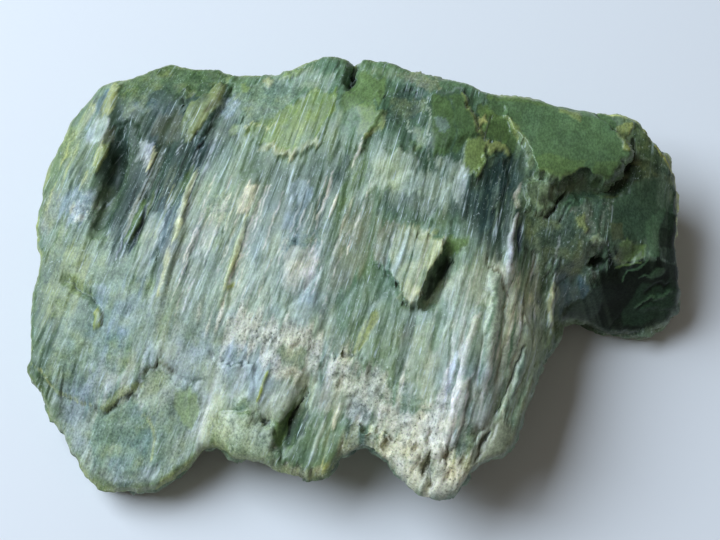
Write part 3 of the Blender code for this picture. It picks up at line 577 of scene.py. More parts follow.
def wall_rows(rim, foot, rows):
    """Rows of the wall between the rim and its foot: down first, then in under the stone."""
    down = np.linspace(0.0, 1.0, rows + 2)[1:-1]
    for part in down:
        ring = rim + (foot - rim) * part
        ring[:, :2] = rim[:, :2] + (foot[:, :2] - rim[:, :2]) * part ** WALL_BOW
        yield ring


# ---------------------------------------------------------------- the closed body
def grid_faces(index):
    """Four-sided faces of a grid of point numbers."""
    corners = [index[:-1, :-1], index[:-1, 1:], index[1:, 1:], index[1:, :-1]]
    return np.stack(corners, axis=-1).reshape(-1, 4)


def band_faces(upper, lower):
    """Four-sided faces between two closed loops of point numbers."""
    return np.stack([upper, lower, np.roll(lower, -1), np.roll(upper, -1)], axis=1)


def halving_faces(upper, lower):
    """Three-sided faces between a closed loop and one with half as many points."""
    even, odd, after = upper[::2], upper[1::2], np.roll(upper[::2], -1)
    following = np.roll(lower, -1)
    left = np.stack([even, lower, odd], axis=1)
    middle = np.stack([odd, lower, following], axis=1)
    right = np.stack([odd, following, after], axis=1)
    return np.concatenate([left, middle, right])


def refined(grid):
    """The grid with every cell cut into REFINE by REFINE cells, on straight lines."""
    for axis in (0, 1):
        old = np.arange(grid.shape[axis])
        new = np.linspace(0, old[-1], REFINE * old[-1] + 1)
        low = np.minimum(new.astype(int), old[-1] - 1)
        part = (new - low).reshape((-1, 1, 1) if axis == 0 else (1, -1, 1))
        grid = np.take(grid, low, axis) * (1 - part) + np.take(grid, low + 1, axis) * part
    return grid


class Surface:
    """The stone's points and faces, with what its colours need to know about each point."""

    def __init__(self):
        across = np.linspace(0.0, 1.0, GRID_ACROSS)
        along = np.linspace(0.0, 1.0, GRID_ALONG)
        coarse = stretched_grid(*[nicked(resample(side, steps)) for side, steps in (
            (SOUTH_SIDE, across), (NORTH_SIDE, across), (WEST_SIDE, along), (EAST_SIDE, along))])
        plan = refined(coarse)
        x, y = plan[..., 0], plan[..., 1]
        coarse_loop = loop_of(coarse)
        self.outline = np.vstack([coarse_loop, coarse_loop[:1]])
        rim_distance, _, _ = line_distance(self.outline, x, y)
        top = np.dstack([plan, top_height(x, y, rim_distance)])

        foot_height, undercut = foot_values(coarse_loop)
        foot_plan = inset_loop(coarse_loop, undercut)
        turns = np.cumsum([0, GRID_ACROSS - 1, GRID_ALONG - 1, GRID_ACROSS - 1, GRID_ALONG - 1])
        closed = np.vstack([foot_plan, foot_plan[:1]])
        south, east, north, west = [closed[start:stop + 1]
                                    for start, stop in zip(turns[:-1], turns[1:])]
        under_plan = stretched_grid(south, north[::-1], west[::-1], east)
        under = np.dstack([under_plan, underside_height(under_plan, foot_plan, foot_height)])
        self.close(top, under)

    def close(self, top, under):
        """Join the top to the underside with rows of wall, less dense further down."""
        rim, foot = loop_of(top), loop_of(under)
        under = under[::2, ::2]
        fine_foot = np.repeat(foot, REFINE, axis=0)
        fine_foot[1::2] = 0.5 * (foot + np.roll(foot, -1, axis=0))
        fine_rings = list(wall_rows(rim, fine_foot, WALL_ROWS))[:FINE_WALL_ROWS]
        coarse_rings = list(wall_rows(rim[::REFINE], foot, WALL_ROWS))[FINE_WALL_ROWS:]
        blocks = [top.reshape(-1, 3), *fine_rings, *coarse_rings, under.reshape(-1, 3)]
        depths = [rim[:, 2] - ring[:, 2] for ring in fine_rings]
        depths += [rim[::REFINE, 2] - ring[:, 2] for ring in coarse_rings]
        self.below = np.concatenate([np.zeros(len(blocks[0])), *depths,
                                     np.full(len(blocks[-1]), UNDERSIDE_DEPTH)])
        starts = np.cumsum([0] + [len(block) for block in blocks])
        self.points = np.concatenate(blocks)

        top_index = np.arange(top.shape[0] * top.shape[1]).reshape(top.shape[:2])
        under_index = starts[-2] + np.arange(under.shape[0] * under.shape[1])
        under_index = under_index.reshape(under.shape[:2])
        loops = [loop_of(top_index)]
        loops += [begin + np.arange(len(block)) for begin, block in zip(starts[1:], blocks[1:-1])]
        loops += [loop_of(under_index)]
        quads = [grid_faces(top_index), grid_faces(under_index)[:, ::-1]]
        self.triangles = np.empty((0, 3), dtype=int)
        for upper, lower in zip(loops[:-1], loops[1:]):
            if len(upper) == len(lower):
                quads.append(band_faces(upper, lower))
            else:
                self.triangles = np.vstack([self.triangles, halving_faces(upper, lower)])
        self.quads = np.concatenate(quads)

    def normals(self):
        """Unit normals at the points, averaged from the faces round them."""
        normals = np.zeros_like(self.points)
        for faces in (self.quads, self.triangles):
            corner = self.points[faces]
            face_normals = np.cross(corner[:, 2] - corner[:, 0], corner[:, -1] - corner[:, 1])
            for place in range(faces.shape[1]):
                np.add.at(normals, faces[:, place], face_normals)
        return normals / np.maximum(np.linalg.norm(normals, axis=1), 1e-12)[:, None]


def spot_mask(fibre, x, y, half_width, half_length):
    """1 inside a spot drawn out along the fibres, 0 outside, with a frayed edge."""
    centre = fibre_coordinates(np.array([[x, y, 0.0]]))[0]
    across = (fibre[:, 0] - centre[0]) / half_width
    along = (fibre[:, 1] - centre[1]) / half_length
    salt = int(10 * abs(x) + abs(y)) + 3
    fraying = fibre_noise(fibre, 0.7, 8.0, salt) + 0.7 * fibre_noise(fibre, 0.3, 4.0, salt + 1)
    return smoothstep((1.2 - np.hypot(across, along) + SPOT_FRAY * fraying) / 0.45)


def strongest(fibre, spots):
    """The highest of a list of spots at each point."""
    mask = np.zeros(len(fibre))
    for x, y, half_width, half_length, strength in spots:
        mask = np.maximum(mask, strength * spot_mask(fibre, x, y, half_width, half_length))
    return mask


def texture_of(fibre, normals):
    """How fibrous, crumbly, waxy and mottled each point is, each from 0 to 1."""
    facing_up = smoothstep(normals[:, 2] * 2.0)
    waxy = strongest(fibre, WAXY_SPOTS) * facing_up
    crumbly = strongest(fibre, CRUMBLY_SPOTS) * facing_up * (1.0 - waxy)
    mottled = strongest(fibre, MOTTLED_SPOTS) * facing_up * (1.0 - waxy) * (1.0 - crumbly)
    ends = smoothstep((np.abs(normals[:, 1]) - 0.55) / 0.3) * (1.0 - facing_up)
    crumbly = np.maximum(crumbly, 0.4 * ends)
    broken, _ = splinter_cells(fibre / LAYERS[0][:3], LAYER_SALT)
    waxy = np.maximum(waxy, (1.0 - facing_up) * (0.35 + 0.4 * (broken > 0.0)))
    fibrous = unit(1.0 - waxy - crumbly - 0.8 * mottled)
    return np.stack([fibrous, crumbly, waxy, mottled], axis=1)


def cell_relief(places, layers, salt):
    """Sum of layers of stepped cells; each layer has a cell size and a height."""
    relief = np.zeros(len(places))
    for number, (*size, height) in enumerate(layers):
        level, seam = splinter_cells(places / size, salt + number)
        relief += height * (level - 0.5 * smoothstep(1.0 - seam / 0.12))
    return relief


def small_relief(dressing):
    """Height of the splinters, ribs, crumbs, shells and blocky fracture along the normals."""
    fibrous, crumbly, waxy, mottled = dressing.texture.T
    surface, points, fibre = dressing.surface, dressing.places, dressing.fibre
    width, length, height = SWELL
    swell = height * value_noise(fibre / (width, length, width), 30)
    splinters = cell_relief(fibre, [(w, l, w, h) for w, l, h in SPLINTERS], 20)
    ribs = sum(h * fibre_noise(fibre, w, l, 24 + n) for n, (w, l, h) in enumerate(RIBS))
    crumbs = cell_relief(points, [(s, s, s, h) for s, h in CRUMBS], 50)
    shells = sum(h * value_noise(points / s, 60 + n) for n, (s, h) in enumerate(SHELLS))
    mottles = sum(h * value_noise(points / s, 70 + n) for n, (s, h) in enumerate(MOTTLES))
    relief = fibrous * (splinters + ribs) + crumbly * (crumbs + 0.4 * splinters)
    relief += waxy * shells + mottled * mottles + swell * (1.0 - 0.85 * waxy)
    size, height = BREAK
    blocks, _ = splinter_cells(points / size, 40)
    blocks = height * blocks + cell_relief(fibre, LAYERS, LAYER_SALT)
    relief += blocks * (1.0 - dressing.up) + dressing.lift
    distance, _, _ = line_distance(surface.outline, points[:, 0], points[:, 1])
    relief *= 0.55 + 0.45 * smoothstep(distance / RIM_CALM)
    return relief * smoothstep(points[:, 2] / REST_CLEARANCE)


# ---------------------------------------------------------------- colours
def to_linear(hex_colour):
    """An sRGB hex colour as three linear values."""
    channels = [int(hex_colour[place:place + 2], 16) / 255.0 for place in (1, 3, 5)]
    return np.array([c / 12.92 if c <= 0.04045 else ((c + 0.055) / 1.055) ** 2.4
                     for c in channels])


PALETTE = {
    "base": "#637f6a", "sage": "#78947f", "moss": "#8a9c62", "mint": "#a9c0ae",
    "chalk": "#cfd6ca", "white": "#e6ebe6", "cream": "#c8d7b4", "straw": "#bcc69f",
    "haze": "#86a0ac", "steel": "#557684", "ice": "#c3d6de", "teal": "#648980",
    "slate": "#435a51", "navy": "#374a63", "ink": "#2a403e", "deep": "#2d4636",
    "night": "#19211c", "fern": "#4f7358", "leaf": "#607e49", "dark leaf": "#4a663f",
    "plateau": "#52734f", "translucent olive": "#748f3b", "fresh": "#7b9559",
    "olive": "#7b8a3a", "lime": "#a0ae2c", "khaki": "#828c78", "bronze": "#525737",
    # The rim and glow colours are painted light through the thin edge, and the pale thread colour is
    # painted sheen
    "rim": "#a9b86a", "glow": "#d2e46c", "fringe": "#b9c784", "silk_sheen": "#bccbc8",
    "fleck": "#cfdad6", "pit": "#3c4a3c", "crumb": "#dcdcc8",
}

# Broad zones of the top, laid on first: (name, colour, strength, width of the edge, outline)
ZONES = [
    ("north edge", "fern", 0.72, 3, [(-25.5, 34), (-16.6, 31.6), (-4.3, 33.7), (5.7, 31.4),
        (19.7, 26.2), (20, 17.7), (16.3, 8.9), (10.9, 8.3), (5.5, 17.6), (-1.1, 15.2), (-4.2, 22.3),
        (-8.4, 20.4), (-15.6, 24.5), (-22.1, 24.8)]),
    ("north-west dark", "ink", 0.7, 3, [(-37.7, 26.1), (-32.8, 27), (-23.1, 27), (-18.2, 25.2),
        (-18.6, 19.8), (-21.5, 13.2), (-24.2, 0.5), (-29.5, -3.5), (-35.5, 0), (-37.1, 10.8),
        (-36.3, 18.1)]),
    # Partly whitish stone, partly painted sheen: the window's bluish reflection on the west-dipping
    # fibres
    ("centre-west pale", "ice", 0.2, 5, [(-26.6, 10), (-16.7, 11.4), (-4.1, 5), (-2, -5.2),
        (-3.4, -11.1), (-16.5, -12.6), (-29.1, -10.8), (-30.6, -2.6)]),
    ("centre shade", "slate", 0.55, 2.5, [(-14.8, 15.5), (-8.3, 14), (-2, 16.4), (-2, 12.5),
        (-3.9, 9.3), (-5.3, 4.1), (-11.5, 4.2), (-13.7, 7), (-14.5, 10.9)]),
    ("west green", "fern", 0.42, 4, [(-48.3, 1.6), (-34.9, 0.4), (-29.1, -8.1), (-33.3, -12),
        (-47.6, -12.8)]),
    ("west shade", "slate", 0.4, 3.5, [(-50, 3.5), (-36.5, 2), (-32.5, -8), (-34, -18), (-50, -17)]),
    ("centre-right dark", "deep", 0.62, 3.5, [(4.9, 25), (16.7, 23.4), (25.4, 8.2), (22.5, -0.6),
        (16.3, 2.8), (10.9, 5.6), (6.2, 12.5)]),
    ("flap shade", "fern", 0.55, 2.5, [(-2.7, 8.4), (5.5, 9.2), (14.9, 2.8), (12.1, -6), (8.1, -5.8),
        (1.4, -4), (-2.7, 0.2)]),
    ("east dark", "ink", 0.36, 2.5, [(25.4, 11), (33.4, 10.6), (39.4, 18.3), (48.6, 14.3),
        (48.5, -7.6), (32.6, -8.7), (28.1, -3.8), (23.2, 2.7)]),
    ("leg east", "mint", 0.5, 2.5, [(18, -1), (22.5, -1.5), (28, -7), (24.5, -15), (20, -25),
        (17, -27), (18, -12)]),
    ("lobe pale", "ice", 0.32, 4, [(-43, -16), (-31, -14), (-22, -16), (-19, -22), (-24, -27),
        (-33, -30), (-40, -25)]),
    ("leg pale", "chalk", 0.4, 3, [(8.8, -4.4), (19, 1), (23.1, -8.1), (17.4, -28.1), (9.4, -30.6),
        (4.7, -21.4)]),
    ("south-west pale", "ice", 0.42, 4, [(-37.6, -9.1), (-16.5, -10), (-4.1, -18.3), (-17.8, -23.2),
        (-29, -20.1), (-37.5, -14.5)]),
]

# Patches of colour on the top, laid on in this order and drawn out along the fibres:
# (name, colour, strength, x, y, half width, half length)
PATCHES = [
    ("west field", "sage", 0.8, -35, -5, 8.6, 9),
    ("west yellow", "moss", 0.5, -42, -2, 2.8, 6.5),
    ("north-west blue", "haze", 0.6, -39.5, 10, 2.8, 3.2),
    ("dark strip", "ink", 0.45, -30, 15, 1.9, 8.7),
    ("dark strip 2", "ink", 0.45, -24, 15, 2.2, 7.2),
    ("teal streak", "steel", 0.6, -26.5, 8, 1.7, 8.7),
    ("grey patch", "sage", 0.7, -20, 11.5, 2.8, 3.8),
    ("mint band", "mint", 0.5, -13.5, -6, 7.6, 4.9),
    ("above olive plate", "mint", 0.45, -8, 27.5, 5.6, 1.9),
    ("north grey", "sage", 0.6, 6.5, 26.5, 4.7, 1.3),
    ("pale veil east", "mint", 0.6, 8, 9, 5.8, 2.3),
    ("dark east", "ink", 0.65, 19.5, 7, 3.6, 6.7),
    ("dark east north", "slate", 0.6, 15, 9, 2.2, 2.9),
    ("small plates", "leaf", 0.85, 19.5, 19.5, 2.5, 2.9),
    ("right slope", "deep", 0.5, 38, 8, 5, 6.4),
    # Painted shade on the stone's own dark green: the east face and the block front turn away from the
    # window
    ("east face", "deep", 0.9, 44.5, 5.5, 1.2, 4.9),
    ("block front", "night", 0.95, 39.5, -2, 6.7, 4.3),
    ("west of flap", "khaki", 0.5, -1, 2, 2.4, 6.1),
    ("green stripes", "fern", 0.7, -1.5, -6, 1.5, 4.3),
    ("leg field", "sage", 0.5, 12.5, -11.5, 5.8, 11.6),
    ("leg pale ridge", "mint", 0.75, 18, -11, 0.8, 7),
    ("leg east", "mint", 0.6, 22, -13.5, 1.8, 9.6),
    ("crumbly tip", "straw", 0.85, 6, -26.5, 6.7, 3.5),
    ("crumbly tip north", "chalk", 0.6, 10.5, -22.5, 2.8, 3.8),
    ("whitish crumble", "chalk", 0.6, -10.5, -11, 8.6, 3.5),
    ("whitish crumble east", "chalk", 0.5, -0.5, -18, 6.4, 4.1),
    ("south-west lobe", "teal", 0.6, -32.5, -21.5, 5, 5.2),
    ("lobe east", "sage", 0.6, -26, -21, 2.2, 4.9),
    ("south pale", "mint", 0.6, -16.5, -20.9, 4.4, 4.4),
    # Partly the stone's blue-grey, partly painted sheen: the window's reflection on the west-dipping
    # fibres
    ("bluish west", "haze", 0.5, -30.5, -6, 4.4, 4.3),
]

# Closed areas with an edge of their own, laid on after the patches:
# (name, colour, strength, finish, lift, outline)
AREAS = [
    ("west slope", "sage", 0.35, "fibrous", 0, [(-46, 12.9), (-45.2, 15.1), (-43.5, 18.9),
        (-41.4, 22.3), (-38.7, 23.4), (-38.5, 20.8), (-39.4, 18.1), (-40.1, 14.2), (-42.4, 11.9),
        (-42.3, 10), (-42.7, 6.3), (-44.6, 5.4)]),
    ("west grey patch", "khaki", 0.7, "mottled", 0.1, [(-44.4, 12.6), (-43, 12.5), (-42.3, 10.4),
        (-42.8, 8.2), (-44, 5.9), (-44.8, 6), (-45.4, 8.6), (-44.9, 11.1)]),
    ("blue streaks north-west", "ice", 0.6, "fibrous", 0, [(-37.1, 23), (-35.5, 22.4), (-35.8, 20.5),
        (-36.9, 19.5), (-38.8, 19.7), (-38.5, 21.3), (-37.8, 22.6)]),
    ("dark band", "deep", 0.85, "fibrous", -0.3, [(-34, 22.1), (-31.2, 21.7), (-30.7, 19.3),
        (-32, 17.8), (-32.8, 15.3), (-33.8, 13), (-34.4, 10.4), (-35.3, 7.9), (-36.2, 6.6), (-37.3, 6.8),
        (-36.5, 8.7), (-35.7, 11.6), (-35.3, 15.4), (-34.8, 17.9), (-34.3, 20)]),
    ("dark band core", "night", 0.7, "fibrous", -0.2, [(-34.1, 19.3), (-33, 19.4), (-32.8, 17.8),
        (-33.9, 15.4), (-34.5, 12.6), (-35, 12), (-35, 15.1)]),
    ("sparkle", "ice", 0.45, "crumbly", 0.1, [(-40.9, 9.7), (-40, 10.7), (-38.7, 10.5), (-37.4, 8.9),
        (-37.9, 8), (-39.6, 7.9), (-40.1, 7.4), (-40.7, 8.3)]),
    ("slate strip", "ink", 0.6, "fibrous", 0, [(-33.8, 13), (-32.6, 15.3), (-31.1, 15.2),
        (-30.8, 12.3), (-32.1, 9.5), (-32.9, 7.6), (-34.2, 6.1), (-35.3, 6.2), (-34.3, 9.6)]),
    ("crown mottle", "dark leaf", 0.6, "mottled", 0.1, [(-33.3, 27.4), (-31.5, 28), (-30.2, 26.7),
        (-29.8, 24.9), (-31.9, 23.2), (-33, 22.5), (-33.8, 23.7), (-33.9, 25.8)]),
    ("crown blue", "steel", 0.45, "mottled", 0, [(-32.7, 24), (-30.9, 25), (-29.4, 25.1),
        (-28.8, 23.8), (-30, 23.1), (-31.9, 23.2)]),
    ("crown yellow", "olive", 0.5, "mottled", 0.1, [(-29.6, 30.4), (-27.6, 31.1), (-27.3, 29.7),
        (-28.5, 28.9), (-29.3, 29.2)]),
    ("crown dark", "dark leaf", 0.6, "waxy", 0, [(-26.2, 30.8), (-23, 30.3), (-21.5, 29.3),
        (-22, 27.8), (-23.5, 26.2), (-25.4, 26.5), (-26.6, 28.4)]),
    ("crown crest", "moss", 0.5, "mottled", 0.1, [(-21.5, 30), (-18.7, 29.7), (-18, 28.8),
        (-18.5, 27.2), (-20.1, 27.7), (-21.5, 28.6)]),
    ("long pale flake", "fringe", 0.6, "fibrous", 0.1, [(-35.4, 28.9), (-34, 28.7), (-34.4, 26.6),
        (-34.7, 24.2), (-35.6, 23.1), (-36.8, 23.3), (-36.8, 25), (-35.9, 26.8)]),
    ("slope cream band", "fringe", 0.55, "fibrous", 0.1, [(-38.2, 26), (-37.7, 24.8), (-39.3, 22.4),
        (-40.5, 20.5), (-41.2, 21.3), (-39.7, 24.2)]),
    ("slope blue stripe", "steel", 0.65, "fibrous", -0.1, [(-36.6, 27.7), (-35.9, 27), (-37.3, 24.2),
        (-38.7, 21.6), (-39.2, 21.9), (-37.9, 24.8)]),
    ("slope mint", "mint", 0.6, "fibrous", 0, [(-37.8, 23.3), (-35.8, 23.2), (-35.9, 20.9),
        (-37.4, 19.5), (-38.4, 20.4)]),
    ("slope grey", "khaki", 0.5, "fibrous", 0, [(-35.9, 21.2), (-34.8, 21.1), (-35.1, 18.9),
        (-36.6, 18.5), (-37.2, 19.2)]),
    ("slope lens", "fringe", 0.55, "fibrous", 0.1, [(-36.8, 18.5), (-36, 18.2), (-36.9, 16),
        (-37.6, 15.1), (-38, 15.8), (-37.5, 17.5)]),
    ("slope speckle", "moss", 0.45, "mottled", 0, [(-42.3, 22), (-39.5, 22.2), (-39.1, 19.6),
        (-40.7, 17.4), (-42.4, 16.9), (-43, 19.1)]),
    ("olive under the white flake", "bronze", 0.45, "fibrous", 0, [(-28.2, 18.8), (-26.2, 18.6),
        (-28, 14.9), (-29.8, 12.3), (-30.5, 12), (-29.5, 14.9)]),
    ("dark under the flap", "ink", 0.6, "fibrous", 0, [(-27.5, 18), (-22.7, 17.5), (-23.3, 14.2),
        (-25, 10.5), (-26.8, 9.4), (-28.6, 10.6), (-28, 14.3)]),
    ("white flake north-west", "ice", 0.5, "fibrous", 0.15, [(-31.5, 17), (-30.7, 18.4), (-30.9, 19.3),
        (-29.3, 19.1), (-28.7, 18.5), (-29, 17.1), (-29.6, 16.1), (-30.2, 16.6)]),
    ("olive zone", "bronze", 0.45, "fibrous", 0, [(-28.4, 23.2), (-25.7, 23.4), (-24.9, 22),
        (-24.8, 18.9), (-26.8, 18.3), (-28.3, 18.9), (-28.7, 20), (-29.5, 20.1), (-29.1, 21.7)]),
    ("dark teal zone", "deep", 0.6, "fibrous", -0.15, [(-28.3, 18.5), (-24.8, 18.5), (-22.4, 17.8),
        (-22.3, 15.7), (-23.7, 13.1), (-24.8, 11), (-26.5, 8.1), (-27.6, 7.1), (-28.9, 9.1), (-29.7, 10),
        (-29.4, 11.5), (-28.4, 12.9), (-28, 14.8)]),
    ("mint streaks west", "mint", 0.35, "fibrous", 0, [(-29.6, 6.7), (-28.5, 8), (-27.4, 8),
        (-27.2, 5.6), (-27.8, 2.5), (-28.6, -0.1), (-30.6, -1.2), (-31.4, 0), (-30.4, 3.6)]),
    ("crown", "dark leaf", 0.7, "mottled", 0, [(-33.7, 29.5), (-26.5, 31.6), (-20.1, 29.9),
        (-18.5, 28.1), (-19.4, 26.6), (-21.4, 25.7), (-25.6, 25.3), (-29.1, 26.8), (-32.3, 25.2),
        (-34.1, 25.6), (-34.6, 28.3)]),
    ("tan flap", "moss", 0.65, "fibrous", 0.2, [(-24.7, 23), (-23.3, 24.6), (-21.4, 25.7), (-20, 27.2),
        (-18.7, 27.1), (-18.9, 25.7), (-19.8, 23.4), (-21.2, 21.8), (-22.4, 19.7), (-23.6, 18.2),
        (-24.6, 19.1), (-25.1, 20.9)]),
    ("blue scratches", "haze", 0.75, "mottled", 0, [(-20.1, 23.9), (-17.4, 25.6), (-16.6, 23.8),
        (-17.8, 21.6), (-19.7, 22)]),
    ("groove foot", "ink", 0.6, "fibrous", -0.2, [(-23.1, 17.7), (-21.1, 18.3), (-21.1, 16.5),
        (-22.2, 14), (-22.9, 12.5), (-23.4, 11), (-24.3, 10.6), (-24.9, 11.2), (-23.7, 14.1)]),
    ("grey north", "sage", 0.6, "mottled", 0, [(-17.4, 25.3), (-15, 26.9), (-10.3, 27.2), (-7.5, 25.9),
        (-9.9, 23), (-12.4, 21.4), (-14.8, 20.2), (-15.8, 21.4)]),
    ("north chip", "fresh", 0.7, "waxy", 0.15, [(-16.7, 27.1), (-15.9, 27.3), (-15.2, 26.5),
        (-15.8, 25.3), (-16.6, 25.7)]),
    ("north chip middle", "straw", 0.6, "waxy", 0.15, [(-13.5, 27.7), (-12.7, 28.2), (-11.9, 27.5),
        (-12.3, 26.4), (-13, 26.7)]),
    ("north chip east", "fresh", 0.7, "waxy", 0.15, [(-11.2, 28), (-9.9, 28.5), (-7.7, 28.9),
        (-8, 28.1), (-9.7, 27.6), (-10.9, 27.3)]),
    ("plate chip", "fresh", 0.6, "waxy", 0.1, [(-18, 20.1), (-17.3, 21), (-16.5, 20.6), (-16.8, 19.3),
        (-17.6, 19)]),
    ("dark fibres centre", "ink", 0.5, "fibrous", -0.1, [(-5.8, 7.7), (-2.7, 12.6), (-1.6, 15.4),
        (-0.8, 14.3), (-2, 11.1), (-4.4, 6.5), (-5.3, 5.1)]),
    ("green fibres centre", "leaf", 0.5, "fibrous", 0, [(-2.7, 9.7), (-0.1, 12.3), (1.8, 15.5),
        (0.8, 10.8), (-1.1, 7.2), (-2.7, 6.4)]),
    ("brown fibres", "khaki", 0.5, "fibrous", 0, [(-1.6, 6.3), (0.1, 6.4), (0.8, 3.8), (-0.1, 2),
        (-2, 2.1)]),
    ("olive plate", "translucent olive", 0.62, "fibrous", 0, [(-16, 19.2), (-14.8, 20.2),
        (-12.4, 21.4), (-9.9, 23), (-7.5, 24.1), (-6.1, 25.4), (-5.1, 24.4), (-2.8, 24.7), (-2.8, 21.6),
        (-4.3, 20.4), (-5.3, 18.2), (-6.5, 16.6), (-9.1, 16), (-11.1, 16.5), (-13.7, 17.5),
        (-14.7, 18.3)]),
    ("white flake", "chalk", 0.9, "fibrous", 0.15, [(-15.3, 11.7), (-14.1, 11.4), (-14.6, 9.5),
        (-15, 8), (-15.7, 7.1), (-16.7, 7.6), (-16.5, 9.6), (-15.8, 10.5)]),
    ("grey centre", "sage", 0.6, "mottled", 0, [(-21.4, 10.9), (-18.5, 10.2), (-17.9, 7.2),
        (-18.4, 4.8), (-19.8, 4.8), (-20.6, 7.3)]),
    ("blue streaks", "haze", 0.65, "fibrous", 0, [(-9.1, 11.6), (-6.9, 11.9), (-6, 9.9), (-7.4, 7.1),
        (-9.3, 4.8), (-10.7, 4.4), (-10.2, 7.2)]),
    ("blue specks", "steel", 0.55, "mottled", 0, [(-10.7, 3.9), (-8.3, 4.2), (-5, 4.1), (-5.2, 1.7),
        (-7.3, -0.1), (-9.7, 0.3), (-10.9, 2)]),
    ("white patch", "chalk", 0.55, "fibrous", 0.1, [(-9.7, -0.2), (-8, 0.4), (-6.6, 0.1), (-5.7, 1.1),
        (-5.7, -0.6), (-6.6, -2.9), (-7.8, -3.3), (-9.2, -2.8), (-9.9, -1.6)]),
    ("green plate", "leaf", 0.7, "waxy", 0, [(-0.5, 26.1), (0.5, 27.7), (2.4, 26.6), (4.1, 26.3),
        (3.5, 23.5), (3.1, 21.7), (1.8, 21.8), (0.5, 22.4), (-0.4, 21.6), (-1.7, 21.3), (-2.3, 22.2),
        (-1.9, 23.9)]),
    ("green lobe", "fresh", 0.55, "waxy", 0.1, [(-0.1, 22), (1.4, 22.1), (2.3, 20.9), (3.8, 20.4),
        (3.4, 19.2), (2.9, 18), (1.8, 17.5), (0.9, 16.8), (-0.1, 17.9), (0.5, 19.4), (0.3, 20.9)]),
    ("teal hollow", "slate", 0.7, "mottled", 0, [(4.2, 23), (6.1, 23.9), (8.3, 23.9), (9.4, 22.7),
        (9.4, 19.8), (7.9, 19.8), (6.8, 18.6), (4.9, 19.1), (3.6, 18.7), (3.5, 20), (4.2, 21.2)]),
    ("grey brow", "khaki", 0.65, "mottled", 0, [(5, 27.1), (7.3, 27.3), (9.5, 26.9), (11, 25.9),
        (11.7, 24), (9.8, 23.9), (8, 25.1), (6.1, 26.1)]),
    ("green patch", "dark leaf", 0.9, "waxy", 0, [(10.2, 23), (12.4, 23), (13.4, 19.8), (13.3, 16.8),
        (12.6, 13.9), (10.4, 13.7), (10, 16.4)]),
    ("pale mark", "haze", 0.3, "waxy", 0, [(10.3, 18.9), (11.6, 19.3), (12.8, 17.8), (11.9, 16.8),
        (10.6, 17.9)]),
    ("fern patch", "fern", 0.6, "mottled", 0, [(7.3, 18.1), (9.3, 17.9), (9.3, 14.3), (7.8, 14.6),
        (7.1, 16.5)]),
    ("green slope", "dark leaf", 0.75, "waxy", 0, [(12.8, 23), (14.5, 23.6), (15.7, 20.8),
        (16.9, 17.3), (15.2, 16), (13.7, 14.1), (12.9, 14.1), (13.5, 16.8), (13.4, 20.2)]),
    ("olive flake", "fresh", 0.8, "waxy", 0.25, [(15, 16), (16.5, 16.7), (17.6, 16.1), (17.5, 13),
        (16.7, 11.1), (15.6, 10.9), (14.7, 12.4), (14.6, 14.4)]),
    ("tan flake", "moss", 0.8, "waxy", 0.25, [(17.6, 16.1), (18.9, 16), (20.3, 15.8), (21.1, 14.6),
        (19.2, 14.9), (18.3, 14.4), (17.5, 15)]),
    ("small flake", "fringe", 0.85, "waxy", 0.2, [(16.5, 19.7), (17.7, 20.2), (17.8, 19.1),
        (16.9, 18.4)]),
    ("small plate", "dark leaf", 0.8, "waxy", 0, [(18, 19.1), (20.9, 20.2), (21.6, 18.5), (22.1, 17.3),
        (21.4, 14.5), (20.4, 16), (17.9, 16.4)]),
    ("small plate north", "leaf", 0.7, "waxy", 0.15, [(16.6, 21.5), (18.5, 21.9), (19.4, 20.3),
        (17.1, 19.9), (16.2, 20.3)]),
    ("veil", "mint", 0.6, "fibrous", 0.1, [(3.1, 16.2), (4.5, 14.2), (6, 14.7), (7.1, 13.7), (8.4, 13),
        (7.8, 11.2), (4.9, 9.6), (2.3, 9.6), (0.5, 8.1), (-0.2, 8.5), (0.9, 9.9), (2.3, 11.6),
        (1.6, 13.5)]),
    ("veil east", "mint", 0.55, "fibrous", 0, [(10.5, 13.5), (12.5, 13.3), (14.7, 12.9), (15.1, 11.1),
        (14.1, 7.8), (13.2, 7.4), (12.9, 9.6), (11.1, 11.5)]),
    ("dark fibres east", "ink", 0.6, "fibrous", -0.1, [(14.7, 8.3), (16.9, 11.1), (19.7, 13.2),
        (22, 14.3), (21.8, 3.9), (15.9, 3.5), (14.7, 5.6)]),
    ("veil shadow", "slate", 0.65, "fibrous", 0, [(3.9, 9.3), (9.5, 8.5), (11.3, 7.5), (10.4, 5.7),
        (8.1, 4.9), (5.3, 6), (2.4, 6.6)]),
    ("flap west strip", "khaki", 0.85, "fibrous", 0, [(3, 4.8), (5, 5.2), (5.7, 4.6), (4.3, 1),
        (3.6, -1.3), (2.3, -0.3), (2.2, 1.5)]),
    ("flap middle", "straw", 0.45, "fibrous", 0, [(5.7, 4.6), (7.4, 4.7), (10.4, 3.6), (10.4, 2.7),
        (9, -1.6), (7.8, -5.6), (7.3, -6.7), (6.4, -5.7), (5.2, -5.2), (5.5, -3.1), (4.5, -2.3),
        (4.3, 1)]),
    ("flap cream edge", "cream", 0.7, "fibrous", 0.1, [(10.4, 2.7), (12.2, 2.9), (11.5, 0.6),
        (9.9, -2.2), (8.5, -5.6), (7.8, -5.6), (9, -1.6)]),
    ("olive patch by the flap", "leaf", 0.8, "waxy", 0, [(12.2, 2.9), (15.3, 2.6), (14.8, 1.4),
        (13.6, 1), (12.2, 0.6)]),
    # Painted shadow: the flap casts its shadow into this hollow, laid on as near black
    ("flap hollow", "night", 0.95, "waxy", 0, [(11.3, -0.1), (12.2, 0.3), (13.6, 0), (12.2, -1.3),
        (11, -3.4), (9.9, -5), (8.7, -5.9), (8.5, -5.4), (9.9, -2.6)]),
    ("olive yellow streak", "olive", 0.85, "waxy", 0, [(2.7, -6.4), (2.9, -7.8), (1.5, -10),
